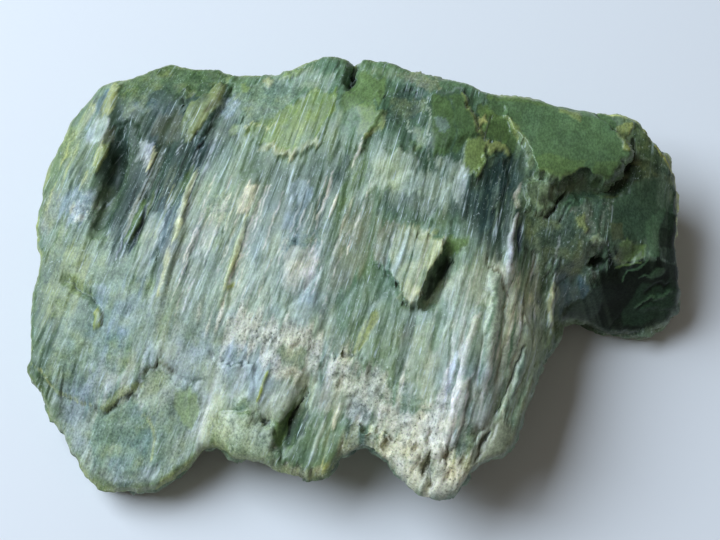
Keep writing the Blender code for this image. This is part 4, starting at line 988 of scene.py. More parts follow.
        (0.6, -11.5), (-0.6, -11.9), (0.1, -9.9), (1.5, -7.7)]),
    ("pale lens", "mint", 0.65, "waxy", 0.15, [(17.8, -1.3), (18.7, -2.6), (19.6, -4.7), (19.8, -7.2),
        (18.8, -10.3), (17.6, -12.2), (16.4, -13.2), (17.1, -9.7), (18.2, -6.1), (17.5, -3.7)]),
    ("dark blue fibres", "ink", 0.8, "fibrous", -0.1, [(23.9, -1.4), (26.7, -0.9), (26.5, -3),
        (25.2, -4.7), (23.9, -3.6)]),
    ("dark green spot", "fern", 0.65, "mottled", 0, [(-11, -11.2), (-8.3, -11.1), (-6.8, -11.7),
        (-7, -13.9), (-9.9, -14.2), (-10.8, -13)]),
    ("green blob", "fern", 0.7, "mottled", 0, [(-16.9, -17.8), (-15, -17.9), (-14.3, -19.8),
        (-15.4, -20.7), (-17.1, -19.6)]),
    ("south block", "fern", 0.4, "fibrous", 0, [(-8.3, -14.7), (-4.5, -14.6), (-1.6, -18.1),
        (-1.4, -21.3), (-2.4, -24.5), (-3.7, -27.3), (-6.6, -27.4), (-10.3, -26.9), (-11.2, -25.1),
        (-11.6, -22.7), (-11.6, -20.9), (-9.9, -18.7), (-8.3, -17.1)]),
    ("south block hollow", "ink", 0.7, "fibrous", -0.3, [(-8.3, -18.3), (-6.6, -19.2), (-6.6, -20.4),
        (-7.4, -22.8), (-8.7, -24.2), (-9.9, -23.7), (-9.9, -22.5), (-9.1, -20.7)]),
    ("green glow", "leaf", 0.85, "waxy", 0.1, [(-11.2, -21.1), (-10.1, -20.3), (-9.1, -19.1),
        (-8.7, -18.7), (-9.1, -20.7), (-9.9, -22.3), (-10.3, -23.9), (-11.2, -24.3), (-11.6, -23.1)]),
    ("centre flake", "chalk", 0.5, "fibrous", 0.1, [(-10.1, 1.7), (-8.2, 2.1), (-5.1, 1.7),
        (-5.6, -1.3), (-6.5, -3.3), (-8.4, -4.2), (-10.3, -3.4)]),
    ("south ledge", "straw", 0.6, "crumbly", 0, [(-11.2, -26.7), (-4.5, -27.4), (-4.7, -28.4),
        (-6.8, -28.8), (-8.7, -28.1), (-11, -27.3)]),
    ("inner face", "slate", 0.5, "mottled", 0, [(-1.4, -21.1), (0.5, -22), (1.7, -23.4), (1.7, -25),
        (0.1, -24.3), (-2, -24.9), (-1.8, -22.9)]),
    ("south plate", "mint", 0.55, "mottled", 0, [(-20.5, -19.9), (-18.4, -19.8), (-14.1, -21),
        (-12, -22.1), (-11.6, -25.9), (-16.2, -25.8), (-18.1, -25.1), (-18.8, -23.8), (-20.5, -22.7)]),
    ("leaf shard", "lime", 0.85, "fibrous", 0.3, [(-36, -4.4), (-35.5, -5.3), (-35.7, -7.3),
        (-36.5, -7.8), (-36.7, -6.4), (-36.5, -5.2)]),
    ("crack blue", "haze", 0.5, "fibrous", 0, [(-37.7, -1.5), (-35.2, -1.6), (-34.7, -3.7),
        (-35.5, -4.3), (-37.2, -2.9)]),
    ("lobe panel", "teal", 0.5, "mottled", 0, [(-36.5, -19.5), (-34.9, -19), (-32.9, -17.6),
        (-31, -16.9), (-30.2, -17.8), (-30.2, -18.8), (-28.7, -20.4), (-28.1, -22.6), (-28.3, -25.5),
        (-29.9, -27), (-33.5, -27.5), (-36.5, -25.4), (-37.5, -22)]),
    ("right plate", "sage", 0.5, "mottled", 0.1, [(-29.8, -14.5), (-28.8, -13.4), (-27.1, -13.1),
        (-25.9, -13.9), (-25.1, -15.1), (-23, -15.5), (-21.6, -16.5), (-21.6, -19.8), (-22.8, -21.5),
        (-24.4, -20.9), (-26.1, -19.7), (-28.1, -19.6), (-29.8, -18.8), (-30.2, -16.9)]),
    ("yellow patch", "fresh", 0.6, "waxy", 0, [(-25.3, -16.4), (-23, -15.9), (-21.8, -17.9),
        (-21.8, -19.8), (-22.8, -21.5), (-24.2, -20.5), (-25.3, -18.7)]),
    ("west teal", "teal", 0.5, "mottled", 0, [(-35, -8.5), (-32.5, -8.4), (-30.9, -9.8),
        (-31.2, -12.6), (-32.9, -14.1), (-34.5, -13.6), (-35.8, -11.6)]),
    ("tan by the crack", "moss", 0.6, "mottled", 0, [(-35.8, -18.3), (-32.9, -15.6), (-29.8, -14.9),
        (-29.8, -15.7), (-31.6, -16.4), (-33.3, -17.6), (-34.9, -18.9)]),
    ("lobe tip", "slate", 0.55, "mottled", 0, [(-36.3, -26.6), (-34.8, -26.2), (-33.8, -27.4),
        (-32.4, -26.6), (-30.1, -27), (-28.7, -28.4), (-28.7, -29.2), (-32.7, -29.2), (-35.6, -28.7)]),
    ("waxy plateau", "plateau", 0.9, "waxy", 0, [(18.1, 23.7), (27.6, 23.3), (31.4, 22.6),
        (35.3, 22.4), (36.3, 20.8), (36.8, 19.2), (36.2, 17.9), (36.5, 16.9), (38.1, 16), (37.5, 14.5),
        (36.1, 13.2), (35.3, 12), (33.9, 11.3), (32.3, 11.4), (31, 12.7), (29.8, 11.8), (28.8, 10.8),
        (26.7, 11.2), (25.8, 11.3), (24.5, 11.9), (24.1, 13.2), (24, 14.4), (23.3, 16.1), (22.4, 17.6),
        (21.7, 19.4), (20.6, 20.4), (19.1, 20.6), (18, 21.4)]),
    ("plateau crest", "leaf", 0.6, "waxy", 0, [(18.1, 24), (23.8, 23.9), (28, 23.1), (27.9, 22.5),
        (23.8, 23), (18.1, 23)]),
    ("plateau thin edge", "leaf", 0.5, "waxy", 0, [(24.1, 13.6), (26.2, 14.4), (29.1, 13.8),
        (31.8, 13.9), (31, 12.7), (29.4, 11.4), (27.1, 11.3), (24.7, 12)]),
    ("plateau lobe", "leaf", 0.5, "waxy", 0, [(32.6, 13.8), (34.5, 14), (36.1, 14.3), (35.3, 12),
        (33.9, 11.3), (32.3, 11.4)]),
    ("little mark", "moss", 0.6, "waxy", 0.1, [(28.1, 22.3), (31.4, 21.9), (31.1, 19.9), (30.1, 20.5),
        (29.4, 21.3), (28.1, 21.4)]),
    ("pale plates east", "moss", 0.75, "mottled", 0.15, [(36.3, 20.2), (38.7, 21.1), (39.1, 20.2),
        (37.8, 18.6), (38.6, 16.8), (38.1, 15.8), (36.9, 15.8), (36.7, 17.1), (36.2, 18.3)]),
    ("north-east slope", "deep", 0.6, "mottled", 0, [(38.7, 21.3), (39.7, 20.7), (42.1, 18.2),
        (44.1, 15.6), (45.5, 13.6), (45.5, 11.1), (42.8, 14.3), (40, 16.3), (38.8, 18.2)]),
    ("shadow zone", "night", 0.6, "mottled", 0, [(38.5, 15.7), (43.1, 15.4), (42.8, 13.9), (39, 12.6),
        (36.9, 10.5), (34.9, 9.8), (34.5, 10.6), (36.1, 12.5), (38.1, 14.6)]),
    ("right slope", "deep", 0.5, "waxy", 0, [(36.9, 10.5), (39.4, 12.7), (42.8, 13.6), (42.2, 10.6),
        (42.8, 8.8), (41.3, 6.7), (40.7, 5.1), (38, 3.4), (35.8, 5.8), (35.5, 8.6)]),
    # Painted shade on the stone's own dark green: the east edge turns away from the window
    ("east edge", "night", 0.6, "waxy", 0, [(42.8, 8.8), (45.5, 9.3), (45.2, 4.1), (42.2, 3.7),
        (41.5, 6.4)]),
    ("under flap", "sage", 0.8, "mottled", 0, [(21.4, 7.8), (23.1, 11.6), (24.3, 11.7), (25.6, 11.3),
        (28.3, 10.5), (29, 10.6), (28.2, 9.4), (27.1, 8.2), (26.9, 7.3), (25.5, 6.4), (23.3, 6.2),
        (21.9, 6.7)]),
    ("fern plate", "fern", 0.6, "mottled", 0.1, [(29.4, 10.5), (32.3, 11), (34.9, 10.9), (34.3, 9.9),
        (32.1, 9.3), (30.9, 8.4), (29.7, 7.6), (28.2, 5.6), (27.8, 6.6), (29, 8.6)]),
    ("crest", "moss", 0.6, "mottled", 0.1, [(29.9, 6.7), (31.3, 7.2), (32, 5.2), (31.2, 4.6),
        (30.5, 5.3)]),
    ("rough dark", "slate", 0.42, "mottled", 0, [(22.9, 5.9), (25.5, 6.2), (27.8, 5.2), (29.7, 6.8),
        (30.9, 4.8), (30.7, 2.1), (24.2, 1.6), (23.1, 3.5)]),
    ("rough dark south", "slate", 0.5, "mottled", 0, [(24.6, 4.1), (26.8, 5), (30.1, 4.6), (30.7, 2.6),
        (31.9, 0.8), (31.8, -0.5), (27.1, -0.9), (25.6, -0.9), (24.7, 0.2)]),
    ("dark pit", "night", 0.95, "waxy", -0.3, [(31.9, 1.9), (34.9, 1.7), (34, 1.1), (32.8, 1),
        (32.1, 1.3)]),
    ("brown slope", "bronze", 0.5, "waxy", 0, [(34.9, 6.1), (36.8, 6.1), (36.7, 3.8), (35.5, 3.6),
        (34.9, 4.8)]),
    ("light crest", "sage", 0.6, "mottled", 0.1, [(36.7, 3.8), (38, 4), (38.3, 2.2), (37.2, 1),
        (36.2, 1), (35.5, 1.5), (36.4, 2.4)]),
    ("east slope", "fern", 0.6, "waxy", 0, [(40.2, 6.8), (42, 8.5), (43.6, 9.5), (42.4, 6.4),
        (42, 3.8), (42.1, 2.1), (40.7, 1.9), (40.3, 3.9)]),
    # Painted shade on the stone's own dark green: the east face and the block turn away from the window
    ("east face", "night", 0.6, "waxy", 0, [(42.7, 6.5), (45.4, 6.9), (45.8, 3.2), (44.2, 1.8),
        (42.6, 2.1), (42.3, 4.2)]),
    ("block", "night", 0.74, "waxy", 0, [(33.6, -0.6), (35, 0.2), (37.4, 0.9), (40.1, 1.3),
        (43.4, 1.7), (46.1, 1.6), (46.1, -2.2), (44.8, -4.4), (42.2, -5.8), (37.9, -6.4), (34.8, -6.3),
        (28.8, -5.9), (29.4, -3.9), (32.3, -2.8), (33.3, -1.3)]),
    ("block pale face", "fern", 0.5, "waxy", 0.05, [(40.4, -0.5), (41.3, 0.3), (42, 0.8), (43, 0.8),
        (43.1, 0.2), (42.2, -0.3), (41.3, -0.5)]),
    ("block slope", "deep", 0.8, "waxy", 0.15, [(39.5, -3.5), (41.4, -2.5), (43.1, -2.1), (44.7, -1.1),
        (45.9, -1.4), (45.9, -2.7), (44.8, -3.6), (42.8, -3.6), (40.9, -3.9)]),
    ("block side", "deep", 0.6, "waxy", 0, [(39.8, -1.3), (42.5, -0.7), (45.6, 0), (46, -2.6),
        (43.9, -4.6), (40.5, -5.5), (37.9, -5.6), (37.5, -4.2)]),
    ("block west face", "slate", 0.35, "waxy", 0.1, [(32.6, -1.5), (34.2, -1.4), (34.3, -2.7),
        (34.2, -4.3), (33.3, -5.1), (30, -5.7), (29.1, -4.5), (31.8, -3.1)]),
    ("crest chips", "mint", 0.55, "mottled", 0.15, [(32.2, 3.6), (33.2, 4.1), (34, 3.6), (34.3, 2.8),
        (33.5, 2.3), (32.6, 2.8)]),
    ("slope glow", "leaf", 0.6, "waxy", 0, [(36.4, 3.1), (37.4, 4.3), (38.6, 3.6), (40.1, 3.6),
        (39.9, 1.9), (38.6, 1.3), (36.9, 1.6)]),
    ("fibre ends", "steel", 0.7, "fibrous", 0, [(27.1, -0.9), (30.6, -0.4), (32.5, -2), (32.1, -2.9),
        (29.4, -3.8), (28.6, -5.9), (26.6, -6.6), (26.6, -3.2)]),
    ("leg north", "teal", 0.55, "fibrous", 0, [(7.1, -6.9), (9, -5.8), (10.8, -6.3), (10.2, -8.2),
        (8.9, -9.3), (7.6, -9.6)]),
    ("leg lens", "mint", 0.65, "waxy", 0.2, [(17.4, -7.2), (19.3, -6.3), (19.5, -8.3), (19, -10.3),
        (18.1, -11.6), (16.6, -11.1), (17, -9)]),
    ("leg slate lens", "slate", 0.4, "waxy", 0.1, [(19.4, -12.3), (20.4, -10.5), (21.6, -10.7),
        (21.6, -12), (20.8, -13.7), (19.6, -14.9), (19, -13.9)]),
    ("foot piece", "khaki", 0.75, "waxy", 0.1, [(16.1, -26.2), (17.7, -23.7), (18.6, -21.6),
        (20.6, -22), (20.7, -24.2), (19.6, -26.4), (18.4, -26.8), (16.9, -26.5)]),
    ("tip teal", "fern", 0.6, "mottled", 0, [(13.1, -22.7), (15, -22.3), (15.8, -23.7), (15, -25.9),
        (13.1, -26.9), (12.8, -25.2)]),
    ("tip crumbs", "chalk", 0.7, "crumbly", 0, [(2.7, -19.5), (6.5, -20.5), (10.2, -21.3),
        (10.5, -23.5), (13.1, -24.5), (12.8, -26.9), (14.7, -28), (13.2, -31.2), (9.8, -31.8),
        (6.4, -30.2), (4.2, -27.2), (2.7, -25.3)]),
    ("tip fern", "fern", 0.5, "mottled", 0, [(4.6, -16.7), (7.4, -18.4), (9.2, -19.7), (7.4, -20.4),
        (5.1, -19)]),
    ("main white ridge", "chalk", 0.85, "fibrous", 0.2, [(13.9, -17.3), (15, -16.6), (14.6, -18.8),
        (13.9, -22), (13.1, -24.5), (11.6, -24.8), (12, -22), (12.8, -19.5)]),
]

# Thin streaks, ridges and cracks: (name, colour, strength, half width, height, points)
STROKES = [
    ("band crest", "moss", 0.8, 0.35, 0.3, [(-35.9, 18.5), (-36.8, 16.5), (-37.3, 15)]),
    # Painted rim light: the rim colour here stands for light through the thin edge
    ("lip west", "rim", 0.9, 0.5, 0.1, [(-46, 9), (-45.8, 7.1), (-45.6, 5.4)]),
    ("flake edge", "straw", 0.9, 0.2, 0.2, [(-28.6, 18.7), (-29, 16.9), (-29.9, 14.8)]),
    ("olive ridge", "leaf", 0.8, 0.45, 0.3, [(-30.1, 10.7), (-30.6, 8.4), (-31.6, 5.9), (-32.4, 4.1)]),
    ("khaki ridge", "khaki", 0.6, 0.3, 0.1, [(-30.9, 11.3), (-32, 7.5), (-32.7, 5.6)]),
    ("blue groove", "navy", 0.7, 0.3, -0.3, [(-29.7, 10), (-30.2, 7.4), (-31, 4.8), (-31.8, 3)]),
    ("cream ridge", "cream", 0.9, 0.28, 0.22, [(-22.8, 13.8), (-23.8, 10.9), (-24.5, 8.3), (-25.1, 5),
        (-25.6, 3.4)]),
    ("leaf line", "dark leaf", 0.7, 0.45, -0.1, [(-23.9, 13.5), (-25.5, 10.7), (-26.1, 8.5)]),
    ("notch", "night", 0.9, 0.35, -0.5, [(-25.2, 25.1), (-24.9, 24.1)]),
    ("flap side", "bronze", 0.7, 0.35, -0.1, [(-18.8, 26.8), (-20.1, 23.9), (-21.7, 22.1)]),
    ("plate scratch", "fringe", 0.6, 0.15, 0.1, [(-15.8, 20.2), (-13.6, 20.1), (-11.6, 19.8)]),
    ("plate fringe", "straw", 0.5, 0.5, 0.1, [(-13.7, 16.7), (-12.3, 16.8), (-10.8, 16.4),
        (-9.6, 15.6), (-9.1, 14.5)]),
    ("plate fringe east", "straw", 0.5, 0.5, 0.1, [(-9.1, 15.5), (-7.7, 16.2), (-6.2, 16.8),
        (-5.3, 17.2)]),
    ("pale streak", "cream", 0.85, 0.34, 0.2, [(-15.5, 7.1), (-16, 4.6), (-16.9, 1.8), (-17.8, -1.2),
        (-18.3, -3.1)]),
    ("yellow end", "olive", 0.8, 0.2, 0.2, [(-17.1, -2.2), (-18.1, -3.3)]),
    ("leaf by the ridge", "leaf", 0.6, 0.4, 0, [(-23.2, 14.6), (-24.8, 10.7)]),
    ("straw strip", "straw", 0.6, 0.35, 0.1, [(-26.1, 3.3), (-26.5, 0.4), (-27.7, -3.6)]),
    ("straw strip side", "dark leaf", 0.8, 0.25, -0.3, [(-27.6, 2.9), (-28.2, -0.7), (-29.1, -3.7)]),
    ("white fibre", "white", 0.9, 0.2, 0.2, [(-2.8, 9), (-3.6, 7.1), (-4, 6)]),
    ("crack", "night", 0.95, 0.3, -0.4, [(-0.4, 29.7), (-0.5, 28), (-0.9, 26.1)]),
    ("lobe fringe", "fringe", 0.55, 0.28, 0.1, [(3.9, 20.2), (3.3, 18.4), (2.3, 17.6), (1.2, 17.2)]),
    ("thin fibre", "mint", 0.6, 0.1, 0, [(9.9, 24.2), (9.6, 21.1), (9.8, 18.9), (9.5, 16.5),
        (9.7, 13.9), (9.6, 12.4)]),
    ("thin fibre west", "mint", 0.6, 0.12, 0.1, [(6.8, 19), (7.3, 16.9)]),
    ("olive edge", "moss", 0.6, 0.25, 0.05, [(14.5, 23.6), (15.3, 20.8), (16.3, 18.6), (17.6, 16.3)]),
    ("plate edge", "moss", 0.8, 0.15, 0.05, [(20.9, 20.2), (21.6, 18.5), (22, 16.9)]),
    ("white line", "white", 0.7, 0.15, 0.1, [(0.7, 16.7), (0.3, 15.1), (-1, 12.8)]),
    ("flap pale strip", "mint", 0.85, 0.4, 0.1, [(7.1, 4.3), (6.2, 1.4), (4.8, -2.3)]),
    ("flap line", "slate", 0.6, 0.15, -0.2, [(5, 4.8), (4.3, 1.9), (3.6, -1.1)]),
    ("flap line middle", "slate", 0.55, 0.15, -0.2, [(8.3, 3.8), (7.3, 0.1), (5.9, -4.7)]),
    ("flap line east", "khaki", 0.7, 0.15, -0.2, [(9.9, 3.4), (9, 0), (7.3, -5.5)]),
    ("curled crumb", "moss", 0.8, 0.4, 0.2, [(10.4, 3.8), (11.1, 3.7)]),
    ("dark stripe", "deep", 0.7, 0.7, -0.2, [(7.5, -7.2), (6.6, -11.3), (5, -16.6)]),
    ("dark stripe east", "fern", 0.7, 0.7, -0.2, [(11.7, -6), (11, -9.5), (10.2, -13)]),
    ("pale line", "mint", 0.8, 0.25, 0.2, [(14.5, -1.4), (13.5, -5.6), (11.6, -10.8)]),
    ("pale line east", "chalk", 0.8, 0.35, 0.2, [(16.2, -8.5), (14.1, -13.1), (13.4, -17.6),
        (12, -24.2)]),
    ("ice line", "ice", 0.8, 0.4, 0.1, [(13.4, -13.1), (12.3, -16.5), (10.7, -21.9)]),
    ("lens side", "bronze", 0.8, 0.22, -0.3, [(17.3, -0.6), (19, -2.6), (20.1, -5.6)]),
    ("rod", "ice", 0.75, 0.25, 0.2, [(21.7, 5.9), (20.9, 2.9), (20.4, -1), (19.9, -2.5)]),
    ("rod side", "navy", 0.9, 0.28, -0.4, [(22.3, 4.9), (21.9, 1)]),
    ("rod south", "ice", 0.85, 0.35, 0.3, [(27.2, -1.5), (26.8, -5.5), (26.5, -8)]),
    ("leg line", "mint", 0.7, 0.3, 0.2, [(22.6, -12.6), (21.4, -16.1), (19.2, -20.7)]),
    ("cross crack", "ink", 0.85, 0.14, -0.35, [(-16.5, -8.3), (-14.4, -8.8), (-12.9, -9.9),
        (-11.2, -10.1), (-10.2, -9.8)]),
    ("cross crack west", "ink", 0.9, 0.17, -0.4, [(-18.8, -12.8), (-16.7, -13), (-14.4, -13.3)]),
    ("streak foot", "ink", 0.85, 0.14, -0.4, [(-3.2, -12.4), (-1.6, -12.2), (-0.1, -12)]),
    ("lime shard", "lime", 0.95, 0.22, 0.5, [(-12.3, -14.4), (-12.9, -16.2), (-13.7, -18)]),
    ("jagged line", "night", 0.9, 0.17, -0.5, [(-6.8, -17), (-7.8, -18.1), (-8.7, -19.5),
        (-9.3, -21.1), (-9.7, -23.1)]),
    ("block pale line", "mint", 0.8, 0.25, 0.2, [(-5.8, -16.4), (-6.6, -19.2)]),
    ("block pale foot", "mint", 0.8, 0.3, 0.2, [(-4.5, -21.2), (-5.7, -24.2), (-6.6, -26.2)]),
    ("block pale east", "chalk", 0.8, 0.35, 0.2, [(-2.4, -18.9), (-3.4, -22.3)]),
    ("yellow foot", "fringe", 0.8, 0.3, 0.1, [(-5.1, -26.6), (-3.2, -27.1)]),
    ("ledge shadow", "slate", 0.8, 0.15, -0.4, [(-10.7, -26.9), (-7.8, -27.3), (-5.7, -27.6)]),
    ("dark corner", "night", 0.85, 0.3, -0.5, [(-13.3, -20.6), (-12, -20.9)]),
    ("crack blue-grey", "ink", 0.7, 0.2, -0.3, [(-40.1, -1.1), (-38.7, -2.2), (-37.4, -3.1),
        (-36.2, -4)]),
    ("shard side", "bronze", 0.85, 0.2, -0.3, [(-35.4, -5.1), (-35.5, -7.3)]),
    ("lobe line", "fringe", 0.55, 0.12, 0, [(-45.9, -12.2), (-44.4, -13.1), (-42.7, -15.3),
        (-40.4, -16.3), (-38.1, -17.6), (-36.8, -18.1)]),
    ("lobe crack", "night", 0.85, 0.15, -0.3, [(-35.1, -18.9), (-33.9, -18.1), (-32.9, -17.2),
        (-31.4, -16.5), (-30.4, -16.9)]),
    ("plate shadow", "bronze", 0.7, 0.2, -0.2, [(-30.4, -14.1), (-29, -13.2), (-27.5, -12.5),
        (-26.5, -12.7), (-25.5, -13.9)]),
    ("plate shadow east", "slate", 0.7, 0.2, -0.3, [(-24.5, -14.3), (-23, -15.1), (-21, -15)]),
    ("lobe seam", "fringe", 0.5, 0.2, 0.1, [(-30, -19.1), (-29, -19.9), (-28.2, -21.6), (-28, -23.6),
        (-28.6, -25.5)]),
    # Painted rim light: the rim colour here stands for light through the thin edge
    ("rim south-west", "rim", 0.7, 0.5, 0.1, [(-27.8, -29.2), (-25.6, -27.5), (-23.4, -26.2),
        (-23.2, -25.4)]),
    ("plateau rim", "fresh", 0.35, 0.4, 0.05, [(24.5, 11.9), (26, 11.5), (28.3, 11.1), (29.4, 11.4),
        (30.6, 12.6)]),
    ("plateau west edge", "moss", 0.5, 0.28, 0.05, [(20.4, 20.2), (21.7, 19.2), (22.5, 17.4),
        (23.3, 15.9), (23.6, 14.3), (23.9, 12.8)]),
    ("plateau shadow", "night", 0.9, 0.4, -0.3, [(38.7, 18.7), (38.8, 16.9), (37.9, 14.6),
        (36.1, 12.9), (34.9, 11.3)]),
    ("flap shadow", "night", 0.9, 0.25, -0.4, [(29, 10.4), (27.7, 8.8), (27.1, 7.5), (25.7, 6.2)]),
    ("fern plate shadow", "night", 0.8, 0.2, -0.3, [(29.4, 8.2), (28.4, 7.1), (27.6, 5.2)]),
    ("fringe of the flap", "chalk", 0.6, 0.2, 0.1, [(21.9, 6.7), (21.6, 8.5), (22.6, 10.8)]),
    # Painted rim light: the rim colour here stands for light through the thin edge
    ("east rim", "rim", 0.9, 0.18, 0.1, [(42.1, 18.2), (45.5, 13.6), (45.7, 11.1), (45.3, 8.3)]),
    # Painted highlights: the pale ripple lines on the dark block stand for glints of the window on real
    # ripples, which are also lifted a little
    ("ripple glint high", "fern", 0.6, 0.13, 0.15, [(37, -1.2), (37.1, -0.4), (37.9, 0.2), (38.8, 0.3),
        (39.7, 1), (40.4, 1.3)]),
    ("ripple glint second", "fern", 0.6, 0.12, 0.12, [(39.2, -0.6), (40.2, -0.2), (40.9, -0.3)]),
    ("ripple glint low", "fern", 0.6, 0.13, 0.15, [(39.4, -3.3), (40.3, -2.9), (41.2, -2.4), (41.8, -2.5)]),
    ("ripple glint east", "fern", 0.6, 0.16, 0.15, [(41.6, -2.9), (42.5, -2.6), (43.1, -2), (44.4, -1.4)]),
    ("ripple dark", "night", 0.95, 0.25, -0.25, [(40.3, -2.2), (41.7, -1.3), (43.2, -1), (44, -1.1)]),
    ("ripple dark low", "night", 0.9, 0.2, -0.2, [(39.6, -3.6), (41.3, -2.8), (42.1, -3)]),
    ("block seam", "night", 0.9, 0.22, -0.2, [(36, -6), (37.1, -4.8), (37.4, -4.1)]),
    ("crest top line", "leaf", 0.6, 0.12, 0.05, [(35.8, 0.7), (37.9, 1.1), (39.4, 1.2)]),
    ("end fibre", "straw", 0.85, 0.3, 0.2, [(27, -2.5), (26.6, -4.4), (26.6, -7.1)]),
    ("end fibre east", "mint", 0.7, 0.2, 0.2, [(27.4, -1.8), (27.8, -3), (27.5, -5.5)]),
    ("leg ridge", "chalk", 0.85, 0.35, 0.2, [(15.7, -8.6), (15.1, -11.5), (14.3, -13.7), (13.9, -15.9),
        (13.3, -18.4), (12.8, -20.9), (12.4, -23.7)]),
    ("leg ridge west", "chalk", 0.85, 0.4, 0.2, [(12, -15.4), (11.3, -18.7), (10.7, -21.7),
        (10.5, -23.5)]),
    ("leg furrow", "slate", 0.8, 0.22, -0.3, [(13.7, -14.4), (12.8, -17.3), (12, -20.2),
        (11.5, -22.3)]),
    ("leg brown line", "bronze", 0.6, 0.22, -0.2, [(14.7, -9.2), (13.9, -11.8), (13.4, -13.7)]),
    ("leg dark furrow", "ink", 0.8, 0.16, -0.3, [(22.6, -11.8), (21.2, -14.7), (20.4, -16.6),
        (19.2, -19.2), (18.4, -20.8)]),
    ("leg teal ridge", "teal", 0.7, 0.4, 0.2, [(22.6, -12.9), (21.8, -15.7), (20.6, -19.1),
        (19.6, -21.4)]),
    ("leg khaki ridge", "khaki", 0.8, 0.4, 0.2, [(23.8, -15.7), (22.6, -18.5), (21.6, -21.3),
        (20.5, -24.2)]),
    ("foot gap", "night", 0.95, 0.2, -0.6, [(15.8, -26.7), (16.5, -24.8), (17.7, -23)]),
    ("tip slot", "bronze", 0.95, 0.32, -0.6, [(9.6, -26.3), (9.1, -27.9), (8.5, -29.4)]),
    ("tip side", "night", 0.8, 0.3, -0.3, [(13.5, -31.1), (15, -28.8), (15.6, -27.2)]),
    ("tip crack", "fern", 0.6, 0.25, -0.2, [(2.7, -18.2), (3.8, -18.7), (5.5, -19.7), (7.4, -20.4),
        (9.8, -20.8)]),
]

# Combs of torn threads beside a guide: (name, colour, strength, half width, count, spread, guide)
# The combs of dark gaps are painted shadow in the gaps between the threads
COMBS = [
    ("east threads", "sage", 0.6, 0.11, 24, 7, [(20.5, 14.5), (18, 2)]),
    ("east gaps", "night", 0.6, 0.12, 10, 7, [(20, 13), (18, 2)]),
    ("north-west threads", "ice", 0.5, 0.08, 30, 10, [(-24, 20), (-31, 0)]),
    ("north-west gaps", "night", 0.7, 0.13, 22, 10, [(-24, 20), (-31, 0)]),
    ("north-west olive", "moss", 0.5, 0.16, 9, 9, [(-25, 18), (-30, 3)]),
    ("west slope cream", "fringe", 0.6, 0.16, 9, 7, [(-38.5, 22.5), (-43, 8)]),
    ("west slope gaps", "slate", 0.7, 0.14, 12, 7, [(-38.5, 22.5), (-43, 8)]),
    ("centre threads", "white", 0.55, 0.08, 50, 24, [(-9, 14), (-17, -9)]),
    ("centre gaps", "ink", 0.5, 0.1, 36, 24, [(-9, 14), (-17, -9)]),
    ("leg threads", "chalk", 0.6, 0.14, 18, 9, [(19, 1), (14, -26)]),
    ("leg gaps", "fern", 0.7, 0.14, 16, 9, [(19, 1), (14, -26)]),
    ("under-flap threads", "mint", 0.5, 0.12, 18, 12, [(7, -3), (2, -18)]),
    ("under-flap gaps", "deep", 0.6, 0.12, 16, 12, [(7, -3), (2, -18)]),
    ("south threads", "mint", 0.6, 0.12, 9, 7, [(-4.5, -16), (-9, -26)]),
    ("south gaps", "deep", 0.7, 0.13, 9, 7, [(-4.5, -16), (-9, -26)]),
    ("cliff threads", "ice", 0.55, 0.12, 10, 6, [(25.5, 5), (24.5, -12)]),
    ("cliff gaps", "deep", 0.7, 0.14, 10, 6, [(25.5, 5), (24.5, -12)]),
]

# Finishes of the areas: shares of fibrous, crumbly, waxy and mottled stone, how solid the colour
# lies on it, and how much it is broken along the fibres
FINISHES = {
    "fibrous": ((1, 0, 0, 0), 0.82, 0.5), "crumbly": ((0, 1, 0, 0), 0.82, 0.5),
    "waxy": ((0, 0, 1, 0), 0.96, 0.06), "mottled": ((0.2, 0, 0, 1), 0.82, 0.5)}

WINDOW_TINT = (1.16, 1.01, 0.88)   # the palette is as seen in bluish light; this undoes it
# The streak shift is partly the stone's own streaking and partly painted sheen: the pale side turns
# whiter and bluer, as window light reflected off the fibres
STREAK_SHEEN_SHIFT = (0.48, 0.37, 0.54)  # pale fibres are whiter, dark ones greener
HUE_SHIFT = (0.11, 0.04, -0.21)    # slow drift between yellow-green and blue-grey
BRIGHTEST = 0.95                   # no colour reflects more light than this


def mixed(tint, name, amount):
    """The tint, moved towards a colour of the palette by an amount for each point."""
    return tint + (to_linear(PALETTE[name]) - tint) * unit(amount)[:, None]


def near_shape(points, x, y, margin):
    """Numbers of the places in the box round a drawn shape."""
    (low_x, low_y), (high_x, high_y) = np.min(points, axis=0), np.max(points, axis=0)
    inside = (x > low_x - margin) & (x < high_x + margin)
    return np.flatnonzero(inside & (y > low_y - margin) & (y < high_y + margin))


